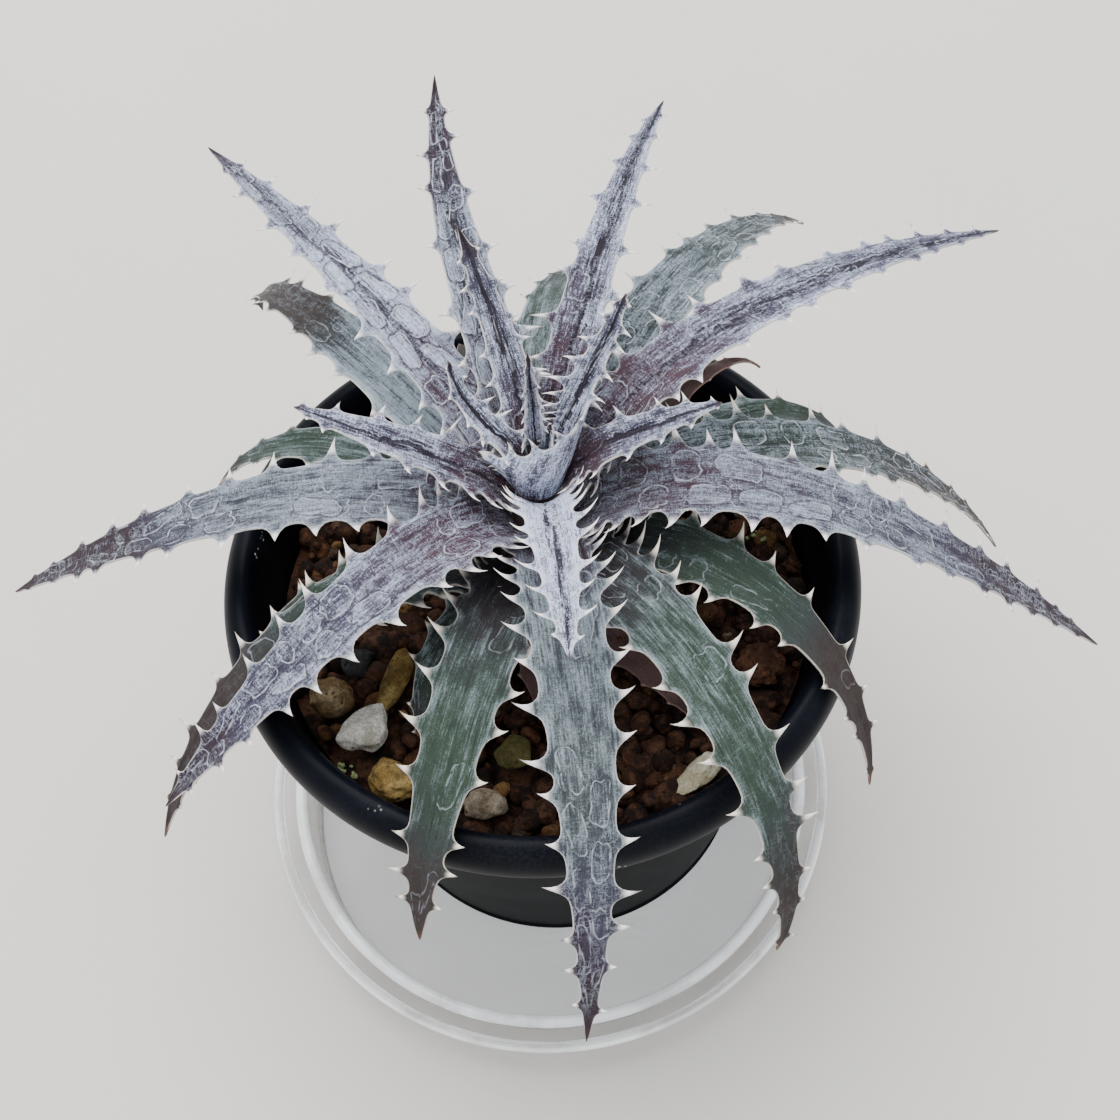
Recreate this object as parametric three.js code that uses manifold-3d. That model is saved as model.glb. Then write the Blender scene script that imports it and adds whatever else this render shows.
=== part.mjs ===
// A potted dyckia: a rosette of toothed, silver-scurfed leaves on a short stem, in a black
// nursery pot of coarse grit that stands on a clear saucer.
// Millimetres, +Z up. The origin is on the saucer's underside, on the pot's axis.
import * as THREE from "three";
import { mergeVertices } from "three/addons/utils/BufferGeometryUtils.js";
import Module from "manifold-3d";

// Driving dimensions

const GAP = 0.3; // left between neighbouring pieces
const SEED = 7;

const POT = {
  rimRadius: 60, // widest line of the rolled collar
  rimHeight: 87, // height of that line
  topHeight: 92.2,
  crestRadius: 56,
  mouthRadius: 53.6,
  collarDrop: 5, // from the widest line down to where the collar tucks under
  neckDepth: 6, // from the top down to where the collar's inside meets the wall
  footRadius: 41.5,
  wall: 1.8,
  floor: 2.4,
  footRing: 2, // the floor is carried this far clear of the saucer
  footRingWidth: 3.5,
  bevel: 0.5,
  drainRadius: 4,
  drainCircle: 24,
  drains: 6,
};

const SAUCER = {
  centre: [-2, -9], // the pot stands a little behind the saucer's middle
  baseRadius: 54.4,
  rimRadius: 62.4,
  height: 15,
  floor: 1.2,
  wall: 1,
  corner: 1.4, // slant between the floor and the wall
  bevel: 0.8,
  brimRadius: 54.8, // inner edge of the flat brim
  bead: 2, // width of the raised beads along the brim's two edges
  beadRise: 1, // their height over the brim between them
};

const GRIT = {
  level: 75.4, // bottom of the furrows between the grains
  grain: 6.6, // spacing of the grains
  rise: [1.2, 3.4], // a grain's top above the furrows, least and most
  jitter: 0.9,
};

const STEM = {
  axis: [1, 3],
  top: [0.6, 117.5], // radius and height of the growing point
  shoulder: 113, // height at which the stem narrows towards the growing point
  footHeight: 52,
  footRadius: 9,
};

// Leaf bases climb the stem in one spiral, numbered from the innermost outwards: the stem's
// radius and height at the first of them, and the steps to the next.
const BASE = { radius: 1.75, radiusStep: 0.28, height: 119.25, heightStep: 1.25 };

const LEAF = {
  pull: 0.36, // length of each Bezier handle, as a share of the root-to-tip chord
  girth: 3.7, // radius of a sheath, and the tightest curl of any base round the stem
  flare: 0.03, // how fast a sheath's far wing opens outwards
  baseAngle: 0.65, // most that a base reaches round the stem to each side, in radians
  swell: 0.15, // share of the length over which the section grows its channel and keel
  taper: [2.0, 0.95], // exponents of the outline's taper
  tipHalfWidth: 0.3,
  channel: 0.2, // rise of the margins over the channel, as a share of the half-width
  keel: 0.24, // extra thickness on the midrib, as a share of the half-width
  marginThickness: [0.8, 0.6], // at the root and at the tip
  sheath: [0.2, 0.5], // shares of the length at which a clasping sheath starts and stops narrowing
  across: [-1, 0, 1], // points across the blade, left margin to right margin
  acrossSheath: [-1, -0.84, -0.68, -0.52, -0.36, -0.2, 0, 1],
  tipStart: 0.972, // where the last ring stands; the dry point runs from there to the end
  toothPitch: 7.6,
  sheathPitch: 3.4,
  toothShare: 0.46, // share of a pitch taken by the left tooth's foot; the right has the rest
  toothReach: 4.4, // on the widest leaves, near the base
  toothPower: 1.5, // how much faster the teeth shrink than the leaves' width
  toothHook: 1.3, // how far a tooth's point leans back towards the root
  toothLift: 0.4, // how far it stands above the margin
  toothShrink: 0.6, // how much shorter the teeth are at the tip
  toothed: [0.17, 0.93], // shares of the length between which the margins bear teeth
};

// heading: compass direction of the root, degrees from +X towards +Y
// sweep: turn of that direction by the time the tip is reached
// launch, arrive: slope of the midrib at the root and at the tip, degrees above level
// reach, tip: the tip's distance from the stem's axis and its height
// half: half of the greatest width, without teeth
// clasp: how far a sheathing base reaches round the stem to the left and right, in degrees
const LEAVES = [
  { heading: 34, sweep: 0, launch: 84, reach: 3.4, tip: 127, arrive: 78, half: 1.5 },
  { heading: 94, sweep: 0, launch: 82, reach: 3, tip: 145, arrive: 76, half: 1.7 },
  { heading: 154, sweep: -17, launch: 72, reach: 19, tip: 132, arrive: 57, half: 2.2 },
  { heading: 103, sweep: 4, launch: 59, reach: 38, tip: 140, arrive: 50, half: 3.0 },
  {
    heading: 49, sweep: 2, launch: 76, reach: 27, tip: 137, arrive: 50, half: 2.8,
    clasp: [-214, 14],
  },
  { heading: 8, sweep: -2, launch: 51, reach: 32, tip: 128, arrive: 23, half: 3.6 },
  { heading: 276, sweep: -2, launch: 60, reach: 45, tip: 130, arrive: 10, half: 4.0 },
  { heading: 108, sweep: -7, launch: 60, reach: 75, tip: 141, arrive: 29, half: 4.2 },
  { heading: 174, sweep: -4, launch: 44, reach: 41, tip: 130, arrive: 18, half: 4.2 },
  { heading: 70, sweep: -1, launch: 58, reach: 80, tip: 130, arrive: -11, half: 4.0 },
  { heading: 130, sweep: -1, launch: 44, reach: 95, tip: 127, arrive: -4, half: 4.8 },
  { heading: 34, sweep: -3, launch: 63, reach: 110, tip: 107, arrive: -20, half: 5.0 },
  { heading: 214, sweep: -1, launch: 55, reach: 83, tip: 86, arrive: -40, half: 6.0 },
  { heading: 355, sweep: -2, launch: 49, reach: 110, tip: 61, arrive: -42, half: 6.2 },
  { heading: 276, sweep: -5, launch: 55, reach: 91, tip: 86, arrive: -46, half: 6.2 },
  { heading: 178, sweep: -1, launch: 47, reach: 105, tip: 79, arrive: -37, half: 6.2 },
  { heading: 57, sweep: -4, launch: 56, reach: 101, tip: 87, arrive: -49, half: 6.4 },
  { heading: 306, sweep: -11, launch: 45, reach: 83, tip: 76, arrive: -85, half: 5.8 },
  { heading: 16, sweep: -8, launch: 48, reach: 96, tip: 57, arrive: -63, half: 6.0 },
  { heading: 134, sweep: -3, launch: 43, reach: 86, tip: 89, arrive: -81, half: 6.2 },
  { heading: 248, sweep: 2, launch: 53, reach: 75, tip: 80, arrive: -69, half: 6.4 },
  { heading: 203, sweep: 11, launch: 48, reach: 86, tip: 79, arrive: -49, half: 5.8 },
  { heading: 338, sweep: -19, launch: 75, reach: 73, tip: 80, arrive: -63, half: 5.4 },
  { heading: 89, sweep: -8, launch: 40, reach: 81, tip: 78, arrive: -50, half: 6.0 },
  { heading: 149, sweep: 14, launch: 43, reach: 66, tip: 90, arrive: -60, half: 5.4 },
  { heading: 32, sweep: -14, launch: 45, reach: 64, tip: 88, arrive: -72, half: 5.2 },
  { heading: 197, sweep: 3, launch: 42, reach: 56, tip: 95, arrive: -43, half: 5.0 },
  { heading: 108, sweep: 0, launch: 30, reach: 47, tip: 98, arrive: -30, half: 5.0 },
  { heading: 222, sweep: 13, launch: 34, reach: 43, tip: 86, arrive: -30, half: 5.0 },
];

// Withered leaves of the skirt, below all the others.
const DRY_LEAVES = [
  { heading: 47, sweep: -9, launch: 34, reach: 57, tip: 96, arrive: -60, half: 1.8 },
  { heading: 266, sweep: 4, launch: -6, reach: 33, tip: 80.6, arrive: 0, half: 5.4 },
  { heading: 314, sweep: -6, launch: -4, reach: 43, tip: 80.6, arrive: 0, half: 5.2 },
];
const DRY_KEEL = 0.04; // a withered leaf has hardly any keel
const WIDEST = Math.max(...LEAVES.map((leaf) => leaf.half));

// Larger stones lying on the grit: where they lie, their half-axes and how they are turned.
const STONES = [
  { name: "stone_tan", at: [-41, -20], size: [5.2, 4.8, 4.2], turn: 20, colour: 0xa98a58 },
  { name: "stone_slate", at: [-36, -12.5], size: [3.6, 3.4, 3], turn: 0, colour: 0x4a4b4d },
  { name: "stone_ochre_long", at: [-28, -16], size: [3.4, 6.2, 3.6], turn: -20, colour: 0xa88a4a },
  { name: "stone_pumice", at: [-34, -27], size: [6, 4.6, 4], turn: 12, colour: 0xd9d2c0 },
  { name: "stone_ochre", at: [-29, -37], size: [5.8, 4.4, 3.8], turn: -30, colour: 0xb3924e },
  { name: "stone_beige", at: [-12, -43], size: [4.6, 3.2, 3], turn: 0, colour: 0x9a8a70 },
  { name: "stone_olive", at: [-7, -33], size: [4.4, 3.4, 3], turn: 10, colour: 0x6f6a3c },
  { name: "stone_cream", at: [28, -38], size: [4.2, 3, 2.8], turn: 35, colour: 0xcdc2a6 },
  { name: "stone_brown", at: [40, -20], size: [5.4, 4.6, 3.8], turn: 0, colour: 0x5b3a28 },
];

const STONE_LUMP = 0.12; // how far a stone swells and shrinks, as a share of its half-axes
const STONE_SHOWN = 0.7; // its centre's height over the lowest grains, as a share of its own

const FINISH = {
  pot: { color: 0x17191c, roughness: 0.5, metalness: 0 },
  saucer: { color: 0xe6ecec, roughness: 0.15, metalness: 0, transparent: true, opacity: 0.4 },
  grit: { color: 0x57382a, roughness: 0.95, metalness: 0 },
  stem: { color: 0x5d4a4c, roughness: 0.9, metalness: 0 },
  youngLeaf: { color: 0xc3bfcb, roughness: 0.8, metalness: 0 },
  oldLeaf: { color: 0x8b9a92, roughness: 0.75, metalness: 0 },
  dryLeaf: { color: 0x7a5a48, roughness: 0.9, metalness: 0 },
};
const YOUNG_LEAVES = 16; // the inner leaves, which the scurf keeps silver

const wasm = await Module();
wasm.setup();

// Solids

function solidOf(geometry) {
  const bare = geometry.clone();
  bare.deleteAttribute("normal");
  bare.deleteAttribute("uv");
  const merged = mergeVertices(bare, 1e-4);
  return new wasm.Manifold(
    new wasm.Mesh({
      numProp: 3,
      vertProperties: merged.attributes.position.array,
      triVerts: new Uint32Array(merged.index.array),
    }),
  );
}

function geometryOf(solid) {
  const mesh = solid.getMesh();
  const geometry = new THREE.BufferGeometry();
  geometry.setAttribute("position", new THREE.BufferAttribute(mesh.vertProperties, 3));
  geometry.setIndex(new THREE.BufferAttribute(mesh.triVerts, 1));
  return geometry;
}

// A solid turned round +Z from a closed outline of [radius, height] points.
function turned(outline, segments) {
  const closed = [...outline, outline[0]].map(([r, z]) => new THREE.Vector2(r, z));
  return new THREE.LatheGeometry(closed, segments).rotateX(Math.PI / 2);
}

function meshFrom(points, faces) {
  const geometry = new THREE.BufferGeometry();
  const array = new Float32Array(points.flatMap((p) => [p.x, p.y, p.z]));
  geometry.setAttribute("position", new THREE.BufferAttribute(array, 3));
  geometry.setIndex(faces.flat());
  return geometry;
}

// A repeatable random number from 0 to 1 for a whole number.
function chance(n) {
  const s = Math.sin(n * 127.1 + SEED * 311.7) * 43758.5453;
  return s - Math.floor(s);
}

function addMesh(group, name, geometry, finish) {
  geometry.computeVertexNormals();
  const mesh = new THREE.Mesh(geometry, new THREE.MeshStandardMaterial(finish));
  mesh.name = name;
  group.add(mesh);
  return mesh;
}

// Saucer: a shallow dish with a flat brim that has a raised bead along each edge

function saucerGeometry() {
  const { baseRadius, rimRadius, height, floor, wall, corner, bevel } = SAUCER;
  const { brimRadius, bead, beadRise } = SAUCER;
  const brimTop = height - beadRise;
  const brimUnder = brimTop - wall;
  return turned(
    [
      [0, 0],
      [baseRadius - bevel, 0],
      [baseRadius, bevel],
      [brimRadius + wall, brimUnder],
      [rimRadius - bead, brimUnder],
      [rimRadius - bead / 2, brimUnder - bevel],
      [rimRadius, brimUnder],
      [rimRadius, height - bevel],
      [rimRadius - bead / 4, height],
      [rimRadius - (bead * 3) / 4, height],
      [rimRadius - bead, brimTop],
      [brimRadius + bead + wall / 2, brimTop],
      [brimRadius + bead, height],
      [brimRadius + bead / 2, height],
      [brimRadius, brimTop],
      [baseRadius - wall, floor + corner],
      [baseRadius - wall - corner, floor],
      [0, floor],
    ],
    48,
  );
}

// Pot: a tapered shell with a rolled collar, a foot ring and drain holes

const potFoot = SAUCER.floor + GAP;
const potFloorTop = potFoot + POT.footRing + POT.floor;

// Inner radius of the pot's wall at a height.
function potInside(z) {
  const share = (z - potFloorTop) / (POT.topHeight - POT.neckDepth - potFloorTop);
  const low = POT.footRadius - POT.wall;
  return low + (POT.mouthRadius - low) * Math.min(share, 1);
}

function potGeometry() {
  const { rimRadius, rimHeight, topHeight, crestRadius, mouthRadius } = POT;
  const { footRadius, footRingWidth, wall, bevel } = POT;
  const underCollar = rimHeight - POT.collarDrop;
  const floorUnder = potFoot + POT.footRing;
  const collar = [];
  for (const degrees of [-58, -25, 0, 28, 56, 90]) {
    const a = THREE.MathUtils.degToRad(degrees);
    collar.push([
      crestRadius + (rimRadius - crestRadius) * Math.cos(a),
      rimHeight + (topHeight - rimHeight) * Math.sin(a),
    ]);
  }
  const shell = turned(
    [
      [0, floorUnder],
      [footRadius - footRingWidth, floorUnder],
      [footRadius - footRingWidth + bevel, potFoot],
      [footRadius - bevel, potFoot],
      [footRadius, potFoot + bevel],
      [potInside(underCollar) + wall, underCollar],
      ...collar,
      [mouthRadius + bevel, topHeight - 2 * bevel],
      [mouthRadius, topHeight - POT.neckDepth],
      [potInside(potFloorTop), potFloorTop],
      [0, potFloorTop],
    ],
    48,
  );
  let pot = solidOf(shell);
  for (let i = 0; i < POT.drains; i++) {
    const a = (i / POT.drains) * 2 * Math.PI;
    const drain = new THREE.CylinderGeometry(POT.drainRadius, POT.drainRadius, 4 * POT.floor, 12)
      .rotateX(Math.PI / 2)
      .translate(POT.drainCircle * Math.cos(a), POT.drainCircle * Math.sin(a), potFloorTop);
    pot = pot.subtract(solidOf(drain));
  }
  return geometryOf(pot);
}

// Stem: a short cone that carries the leaf bases and is rooted in a hole in the grit

function stemRadius(z) {
  return BASE.radius + (BASE.radiusStep * (BASE.height - z)) / BASE.heightStep;
}

function stemGeometry(grow) {
  const [topRadius, topHeight] = STEM.top;
  const gritLine = GRIT.level - 1;
  const outline = [
    [0, STEM.footHeight - grow],
    [STEM.footRadius + grow, STEM.footHeight - grow],
    [stemRadius(gritLine) + grow, gritLine],
    [stemRadius(STEM.shoulder) + grow, STEM.shoulder],
    [topRadius + grow, topHeight + grow],
    [0, topHeight + grow + topRadius],
  ];
  return turned(outline, 24).translate(...STEM.axis, 0);
}

// Stones: rounded lumps, each a little out of round, bedded in the grit

function stoneGeometry(stone, grow) {
  const geometry = new THREE.SphereGeometry(1, 9, 7).rotateX(Math.PI / 2);
  const position = geometry.getAttribute("position");
  const [a, b, c] = stone.size;
  const p = new THREE.Vector3();
  for (let i = 0; i < position.count; i++) {
    p.fromBufferAttribute(position, i);
    const wave = Math.sin(3 * p.x + a) * Math.cos(2.5 * p.y + b) * Math.sin(2 * p.z + c);
    const lump = 1 + STONE_LUMP * wave;
    position.setXYZ(i, p.x * (a * lump + grow), p.y * (b * lump + grow), p.z * (c * lump + grow));
  }
  return geometry
    .rotateZ(THREE.MathUtils.degToRad(stone.turn))
    .translate(...stone.at, GRIT.level + GRIT.rise[0] + c * STONE_SHOWN);
}

// Grit: a plug that fills the pot, its top raised into grains that meet in furrows

function gritSlab() {
  const { level, grain, rise, jitter } = GRIT;
  const span = POT.mouthRadius + grain;
  const rowStep = (grain * Math.sqrt(3)) / 2;
  const columns = Math.ceil((2 * span) / grain) + 1;
  const rows = Math.ceil((2 * span) / rowStep) + 1;
  const top = [];
  const grainAt = (i, j) => j * columns + i;
  for (let j = 0; j < rows; j++) {
    for (let i = 0; i < columns; i++) {
      const n = grainAt(i, j);
      top.push(
        new THREE.Vector3(
          -span + (i + (j % 2) / 2) * grain + (chance(n) - 0.5) * jitter,
          -span + j * rowStep + (chance(n + 0.3) - 0.5) * jitter,
          level + rise[0] + (rise[1] - rise[0]) * chance(n + 0.6),
        ),
      );
    }
  }
  // The three grains round each hollow, counter-clockwise.
  const hollows = [];
  for (let j = 0; j + 1 < rows; j++) {
    for (let i = 0; i + 1 < columns; i++) {
      const [a, b] = [grainAt(i, j), grainAt(i + 1, j)];
      const [c, d] = [grainAt(i, j + 1), grainAt(i + 1, j + 1)];
      hollows.push(...(j % 2 ? [[a, b, d], [a, d, c]] : [[a, b, c], [b, d, c]]));
    }
  }
  const faces = [];
  for (const [a, b, c] of hollows) {
    const middle = new THREE.Vector3().add(top[a]).add(top[b]).add(top[c]).divideScalar(3);
    middle.z = level;
    const m = top.push(middle) - 1;
    faces.push([a, b, m], [b, c, m], [c, a, m]);
  }
  return closedDown(top, faces, potFloorTop - 1);
}

// Closes an open surface into a solid with a flat underside at a height.
function closedDown(top, faces, height) {
  const count = top.length;
  const bottom = top.map((p) => new THREE.Vector3(p.x, p.y, height));
  const edges = new Set();
  for (const [a, b, c] of faces) edges.add(`${a},${b}`).add(`${b},${c}`).add(`${c},${a}`);
  const walls = [];
  for (const edge of edges) {
    const [a, b] = edge.split(",").map(Number);
    if (!edges.has(`${b},${a}`)) walls.push([b, a, a + count], [b, a + count, b + count]);
  }
  const under = faces.map(([a, b, c]) => [a + count, c + count, b + count]);
  return meshFrom([...top, ...bottom], [...faces, ...walls, ...under]);
}

function gritGeometry() {
  const low = potFloorTop + GAP;
  const high = POT.topHeight - POT.neckDepth;
  const plug = turned(
    [
      [0, low],
      [potInside(low) - GAP, low],
      [potInside(high) - GAP, high],
      [0, high],
    ],
    48,
  );
  let grit = solidOf(gritSlab()).intersect(solidOf(plug)).subtract(solidOf(stemGeometry(GAP)));
  for (const stone of STONES) grit = grit.subtract(solidOf(stoneGeometry(stone, GAP)));
  return geometryOf(grit);
}

// Leaves

// The midrib in the plane of [distance from the stem's axis, height]. A base is flat between its
// midrib and its margins, so it starts as far out as keeps its flats clear of the round stem.
function midrib(leaf, order) {
  const height = BASE.height - BASE.heightStep * order;
  const seat = stemRadius(height) + GAP;
  const angle = Math.min(leaf.half / seat, LEAF.baseAngle);
  const root = new THREE.Vector2(seat / Math.cos(angle / 2), height);
  const tip = new THREE.Vector2(leaf.reach, leaf.tip);
  const handle = LEAF.pull * root.distanceTo(tip);
  const slope = (degrees) => {
    const a = THREE.MathUtils.degToRad(degrees);
    return new THREE.Vector2(Math.cos(a), Math.sin(a)).multiplyScalar(handle);
  };
  const rise = root.clone().add(slope(leaf.launch));
  const fall = tip.clone().sub(slope(leaf.arrive));
  return new THREE.CubicBezierCurve(root, rise, fall, tip);
}

// Half of the blade's width, pinched in where it leaves the stem.
function halfWidth(leaf, rib, u) {
  const [inner, outer] = LEAF.taper;
  const blade = leaf.half * (1 - u ** inner) ** outer + LEAF.tipHalfWidth;
  return Math.min(blade, LEAF.baseAngle * rib.getPointAt(u).x + LEAF.tipHalfWidth);
}

// The margins' places across the leaf, left and right of the midrib.
function margins(leaf, rib, u) {
  const half = halfWidth(leaf, rib, u);
  if (!leaf.clasp) return [-half, half];
  const [left, right] = leaf.clasp.map((degrees) => THREE.MathUtils.degToRad(degrees) * LEAF.girth);
  const blade = THREE.MathUtils.smoothstep(u, ...LEAF.sheath);
  return [THREE.MathUtils.lerp(left, -half, blade), THREE.MathUtils.lerp(right, half, blade)];
}

// Heights of the upper and lower face off the midrib, at t from the midrib (0) to a margin (1).
function faceHeights(leaf, rib, u, t) {
  const grown = halfWidth(leaf, rib, u) * Math.min(u / LEAF.swell, 1);
  const keel = DRY_LEAVES.includes(leaf) ? DRY_KEEL : LEAF.keel;
  const upper = LEAF.channel * grown * t;
  return [upper, upper - THREE.MathUtils.lerp(...LEAF.marginThickness, u) - keel * grown * (1 - t)];
}

// A point of the leaf: u along the midrib, x across it and y off it. A blade is curled round the
// stem's axis, and a sheathed one round an axis of its own that leans out with it.
function leafPoint(leaf, rib, u, x, y) {
  const at = rib.getPointAt(u);
  const along = rib.getTangentAt(u);
  const curl = leaf.clasp ? LEAF.girth : at.x;
  const turn = THREE.MathUtils.degToRad(leaf.heading + leaf.sweep * u * u);
  const angle = turn + x / Math.max(curl, LEAF.girth);
  const flare = leaf.clasp ? LEAF.flare * (x / LEAF.girth) ** 4 * Math.min(u / LEAF.sheath[0], 1) : 0;
  const radius = curl + flare - along.y * y;
  return new THREE.Vector3(
    STEM.axis[0] + (at.x - curl) * Math.cos(turn) + radius * Math.cos(angle),
    STEM.axis[1] + (at.x - curl) * Math.sin(turn) + radius * Math.sin(angle),
    at.y + along.x * y,
  );
}

// Shares of the length at which the rings stand: two to each pitch, so that the teeth of the
// left and right margin come by turns.
function ringStations(leaf, length) {
  const pitch = leaf.clasp ? LEAF.sheathPitch : LEAF.toothPitch;
  const pitches = Math.round(length / pitch);
  const stations = [];
  for (let i = 0; i <= 2 * pitches; i++) {
    const inPitch = i % 2 ? LEAF.toothShare : 0;
    stations.push(((Math.floor(i / 2) + inPitch) / pitches) * LEAF.tipStart);
  }
  return stations;
}

// The point of a tooth on the left (-1) or right (1) margin, leaning back towards the root.
function toothPoint(leaf, rib, u, side) {
  const size = (leaf.half / WIDEST) ** LEAF.toothPower * (1 - LEAF.toothShrink * u);
  const [left, right] = margins(leaf, rib, u);
  const margin = side < 0 ? left : right;
  const out = margin + side * LEAF.toothReach * size;
  const lift = LEAF.toothLift * size;
  const back = u - (LEAF.toothHook * size) / rib.getLength();
  return leafPoint(leaf, rib, back, out, faceHeights(leaf, rib, u, 1)[0] + lift);
}

// One leaf: a channelled blade in rings of points, with a hooked tooth on one margin of every
// stretch between two rings, and a sharp point at the tip.
function leafGeometry(leaf, order) {
  const rib = midrib(leaf, order);
  const stations = ringStations(leaf, rib.getLength());
  const across = leaf.clasp ? LEAF.acrossSheath : LEAF.across;
  const width = across.length;
  const ring = 2 * width;
  const points = [];
  for (const u of stations) {
    const [left, right] = margins(leaf, rib, u);
    const rows = across.map((t) => {
      const x = t < 0 ? -t * left : t * right;
      return faceHeights(leaf, rib, u, Math.abs(t)).map((y) => leafPoint(leaf, rib, u, x, y));
    });
    // Down the left margin, along the lower face, up the right margin and back along the upper.
    points.push(...rows.map(([, lower]) => lower));
    points.push(...rows.map(([upper]) => upper).reverse());
  }

  const faces = [];
  for (let i = 0; i + 1 < stations.length; i++) {
    const [u, next] = [stations[i], stations[i + 1]];
    const side = i % 2 ? 1 : -1;
    const toothed = u > (leaf.clasp ? LEAF.sheath[1] : LEAF.toothed[0]) && next < LEAF.toothed[1];
    for (let k = 0; k < ring; k++) {
      const [a, b] = [ring * i + k, ring * i + ((k + 1) % ring)];
      const [c, d] = [b + ring, a + ring];
      const isMargin = k === (side < 0 ? ring - 1 : width - 1);
      if (isMargin && toothed) {
        const tip = points.push(toothPoint(leaf, rib, (u + next) / 2, side)) - 1;
        faces.push([a, b, tip], [b, c, tip], [c, d, tip], [d, a, tip]);
      } else {
        faces.push([a, b, c], [a, c, d]);
      }
    }
  }

  const last = ring * (stations.length - 1);
  const end = points.push(leafPoint(leaf, rib, 1, 0, -LEAF.marginThickness[1] / 2)) - 1;
  for (let k = 0; k < ring; k++) faces.push([last + k, last + ((k + 1) % ring), end]);
  for (let k = 0; k + 1 < width; k++) {
    const [a, b] = [k, k + 1];
    const [c, d] = [ring - 2 - k, ring - 1 - k];
    faces.push([b, a, d], [b, d, c]);
  }
  return meshFrom(points, faces);
}

// The whole part

const plant = new THREE.Group();

const saucer = addMesh(plant, "saucer", saucerGeometry(), FINISH.saucer);
saucer.position.set(...SAUCER.centre, 0);
addMesh(plant, "pot", potGeometry(), FINISH.pot);
addMesh(plant, "grit", gritGeometry(), FINISH.grit);
addMesh(plant, "stem", stemGeometry(0), FINISH.stem);

for (const stone of STONES) {
  const finish = { color: stone.colour, roughness: 0.9, metalness: 0 };
  addMesh(plant, stone.name, stoneGeometry(stone, 0), finish);
}

LEAVES.forEach((leaf, order) => {
  const name = `leaf_${String(order + 1).padStart(2, "0")}`;
  const finish = order < YOUNG_LEAVES ? FINISH.youngLeaf : FINISH.oldLeaf;
  addMesh(plant, name, leafGeometry(leaf, order), finish);
});

DRY_LEAVES.forEach((leaf, i) => {
  const order = LEAVES.length + i;
  addMesh(plant, `dry_leaf_${i + 1}`, leafGeometry(leaf, order), FINISH.dryLeaf);
});

export default plant;
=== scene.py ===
import math

import bpy
import numpy as np
from mathutils import Matrix, Vector


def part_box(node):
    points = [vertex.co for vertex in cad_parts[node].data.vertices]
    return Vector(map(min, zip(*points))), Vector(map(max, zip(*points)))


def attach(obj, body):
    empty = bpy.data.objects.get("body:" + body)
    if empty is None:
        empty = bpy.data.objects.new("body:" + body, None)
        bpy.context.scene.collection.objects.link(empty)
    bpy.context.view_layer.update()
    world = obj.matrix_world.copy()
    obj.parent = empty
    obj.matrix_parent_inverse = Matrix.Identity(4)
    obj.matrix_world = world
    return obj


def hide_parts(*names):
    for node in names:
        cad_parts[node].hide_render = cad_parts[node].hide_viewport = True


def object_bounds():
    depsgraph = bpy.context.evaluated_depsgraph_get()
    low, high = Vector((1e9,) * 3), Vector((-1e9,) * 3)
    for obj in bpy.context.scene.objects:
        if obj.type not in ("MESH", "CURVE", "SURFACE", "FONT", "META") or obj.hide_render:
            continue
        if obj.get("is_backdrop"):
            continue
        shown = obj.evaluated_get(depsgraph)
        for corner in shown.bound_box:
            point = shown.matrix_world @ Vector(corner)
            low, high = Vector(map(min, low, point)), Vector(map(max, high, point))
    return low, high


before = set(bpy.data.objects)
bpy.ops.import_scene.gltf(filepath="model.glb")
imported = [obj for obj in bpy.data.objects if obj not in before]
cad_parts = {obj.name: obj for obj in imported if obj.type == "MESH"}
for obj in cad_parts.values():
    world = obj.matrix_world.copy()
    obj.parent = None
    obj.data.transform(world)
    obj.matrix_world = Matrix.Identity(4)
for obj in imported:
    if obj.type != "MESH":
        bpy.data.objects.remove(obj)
cad_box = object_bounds()


# ---------------------------------------------------------------------------------------------
# Saucer
# A clear drip tray, formed from one sheet of 1 mm plastic. A flat brim with a rounded bead
# along each edge stiffens it. It lies loose on the table, under the pot.
# ---------------------------------------------------------------------------------------------

MM = 0.001  # sizes are in millimetres throughout, and become metres where a mesh is made


def box_of(node):
    """The lowest and highest corners of a part of the frame, in millimetres."""
    low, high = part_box(node)
    return np.array(low) / MM, np.array(high) / MM


def arc(centre, radii, start, end, steps):
    """[radius, height] points on an ellipse, from one angle to another in degrees."""
    angles = np.radians(np.linspace(start, end, steps))
    return [(centre[0] + radii[0] * math.cos(a), centre[1] + radii[1] * math.sin(a)) for a in angles]


def turned(outline, steps=256):
    """Points and faces of a solid turned round +Z from [radius, height] points, axis to axis."""
    angles = np.linspace(0, 2 * np.pi, steps, endpoint=False)
    points = []
    rows = []
    for radius, height in outline:
        first = len(points)
        if radius == 0:
            points.append((0, 0, height))
            rows.append([first] * steps)
        else:
            points += [(radius * math.cos(a), radius * math.sin(a), height) for a in angles]
            rows.append(list(range(first, first + steps)))
    faces = []
    for low, high in zip(rows, rows[1:]):
        for i in range(steps):
            j = (i + 1) % steps
            faces.append(list(dict.fromkeys([low[i], low[j], high[j], high[i]])))
    return np.array(points), faces


def add_piece(name, points, faces, material, replaces=(), crease=40, values=None):
    """A mesh object that rides with the part. values are named vectors, one for each point."""
    mesh = bpy.data.meshes.new(name)
    mesh.from_pydata((np.asarray(points) * MM).tolist(), [], faces)
    for label, vectors in (values or {}).items():
        layer = mesh.attributes.new(label, "FLOAT_VECTOR", "POINT")
        layer.data.foreach_set("vector", np.asarray(vectors, np.float32).ravel())
    mesh.polygons.foreach_set("use_smooth", [True] * len(mesh.polygons))
    mesh.set_sharp_from_angle(angle=math.radians(crease))
    mesh.materials.append(material)
    piece = bpy.data.objects.new(name, mesh)
    bpy.context.scene.collection.objects.link(piece)
    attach(piece, "root")
    if replaces:
        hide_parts(*replaces)
    return piece


def paint(code):
    """A paint-chart colour such as "c8b090" as the linear colour that shaders take."""
    shares = [int(code[i : i + 2], 16) / 255 for i in (0, 2, 4)]
    return [s / 12.92 if s < 0.04045 else ((s + 0.055) / 1.055) ** 2.4 for s in shares] + [1]


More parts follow.
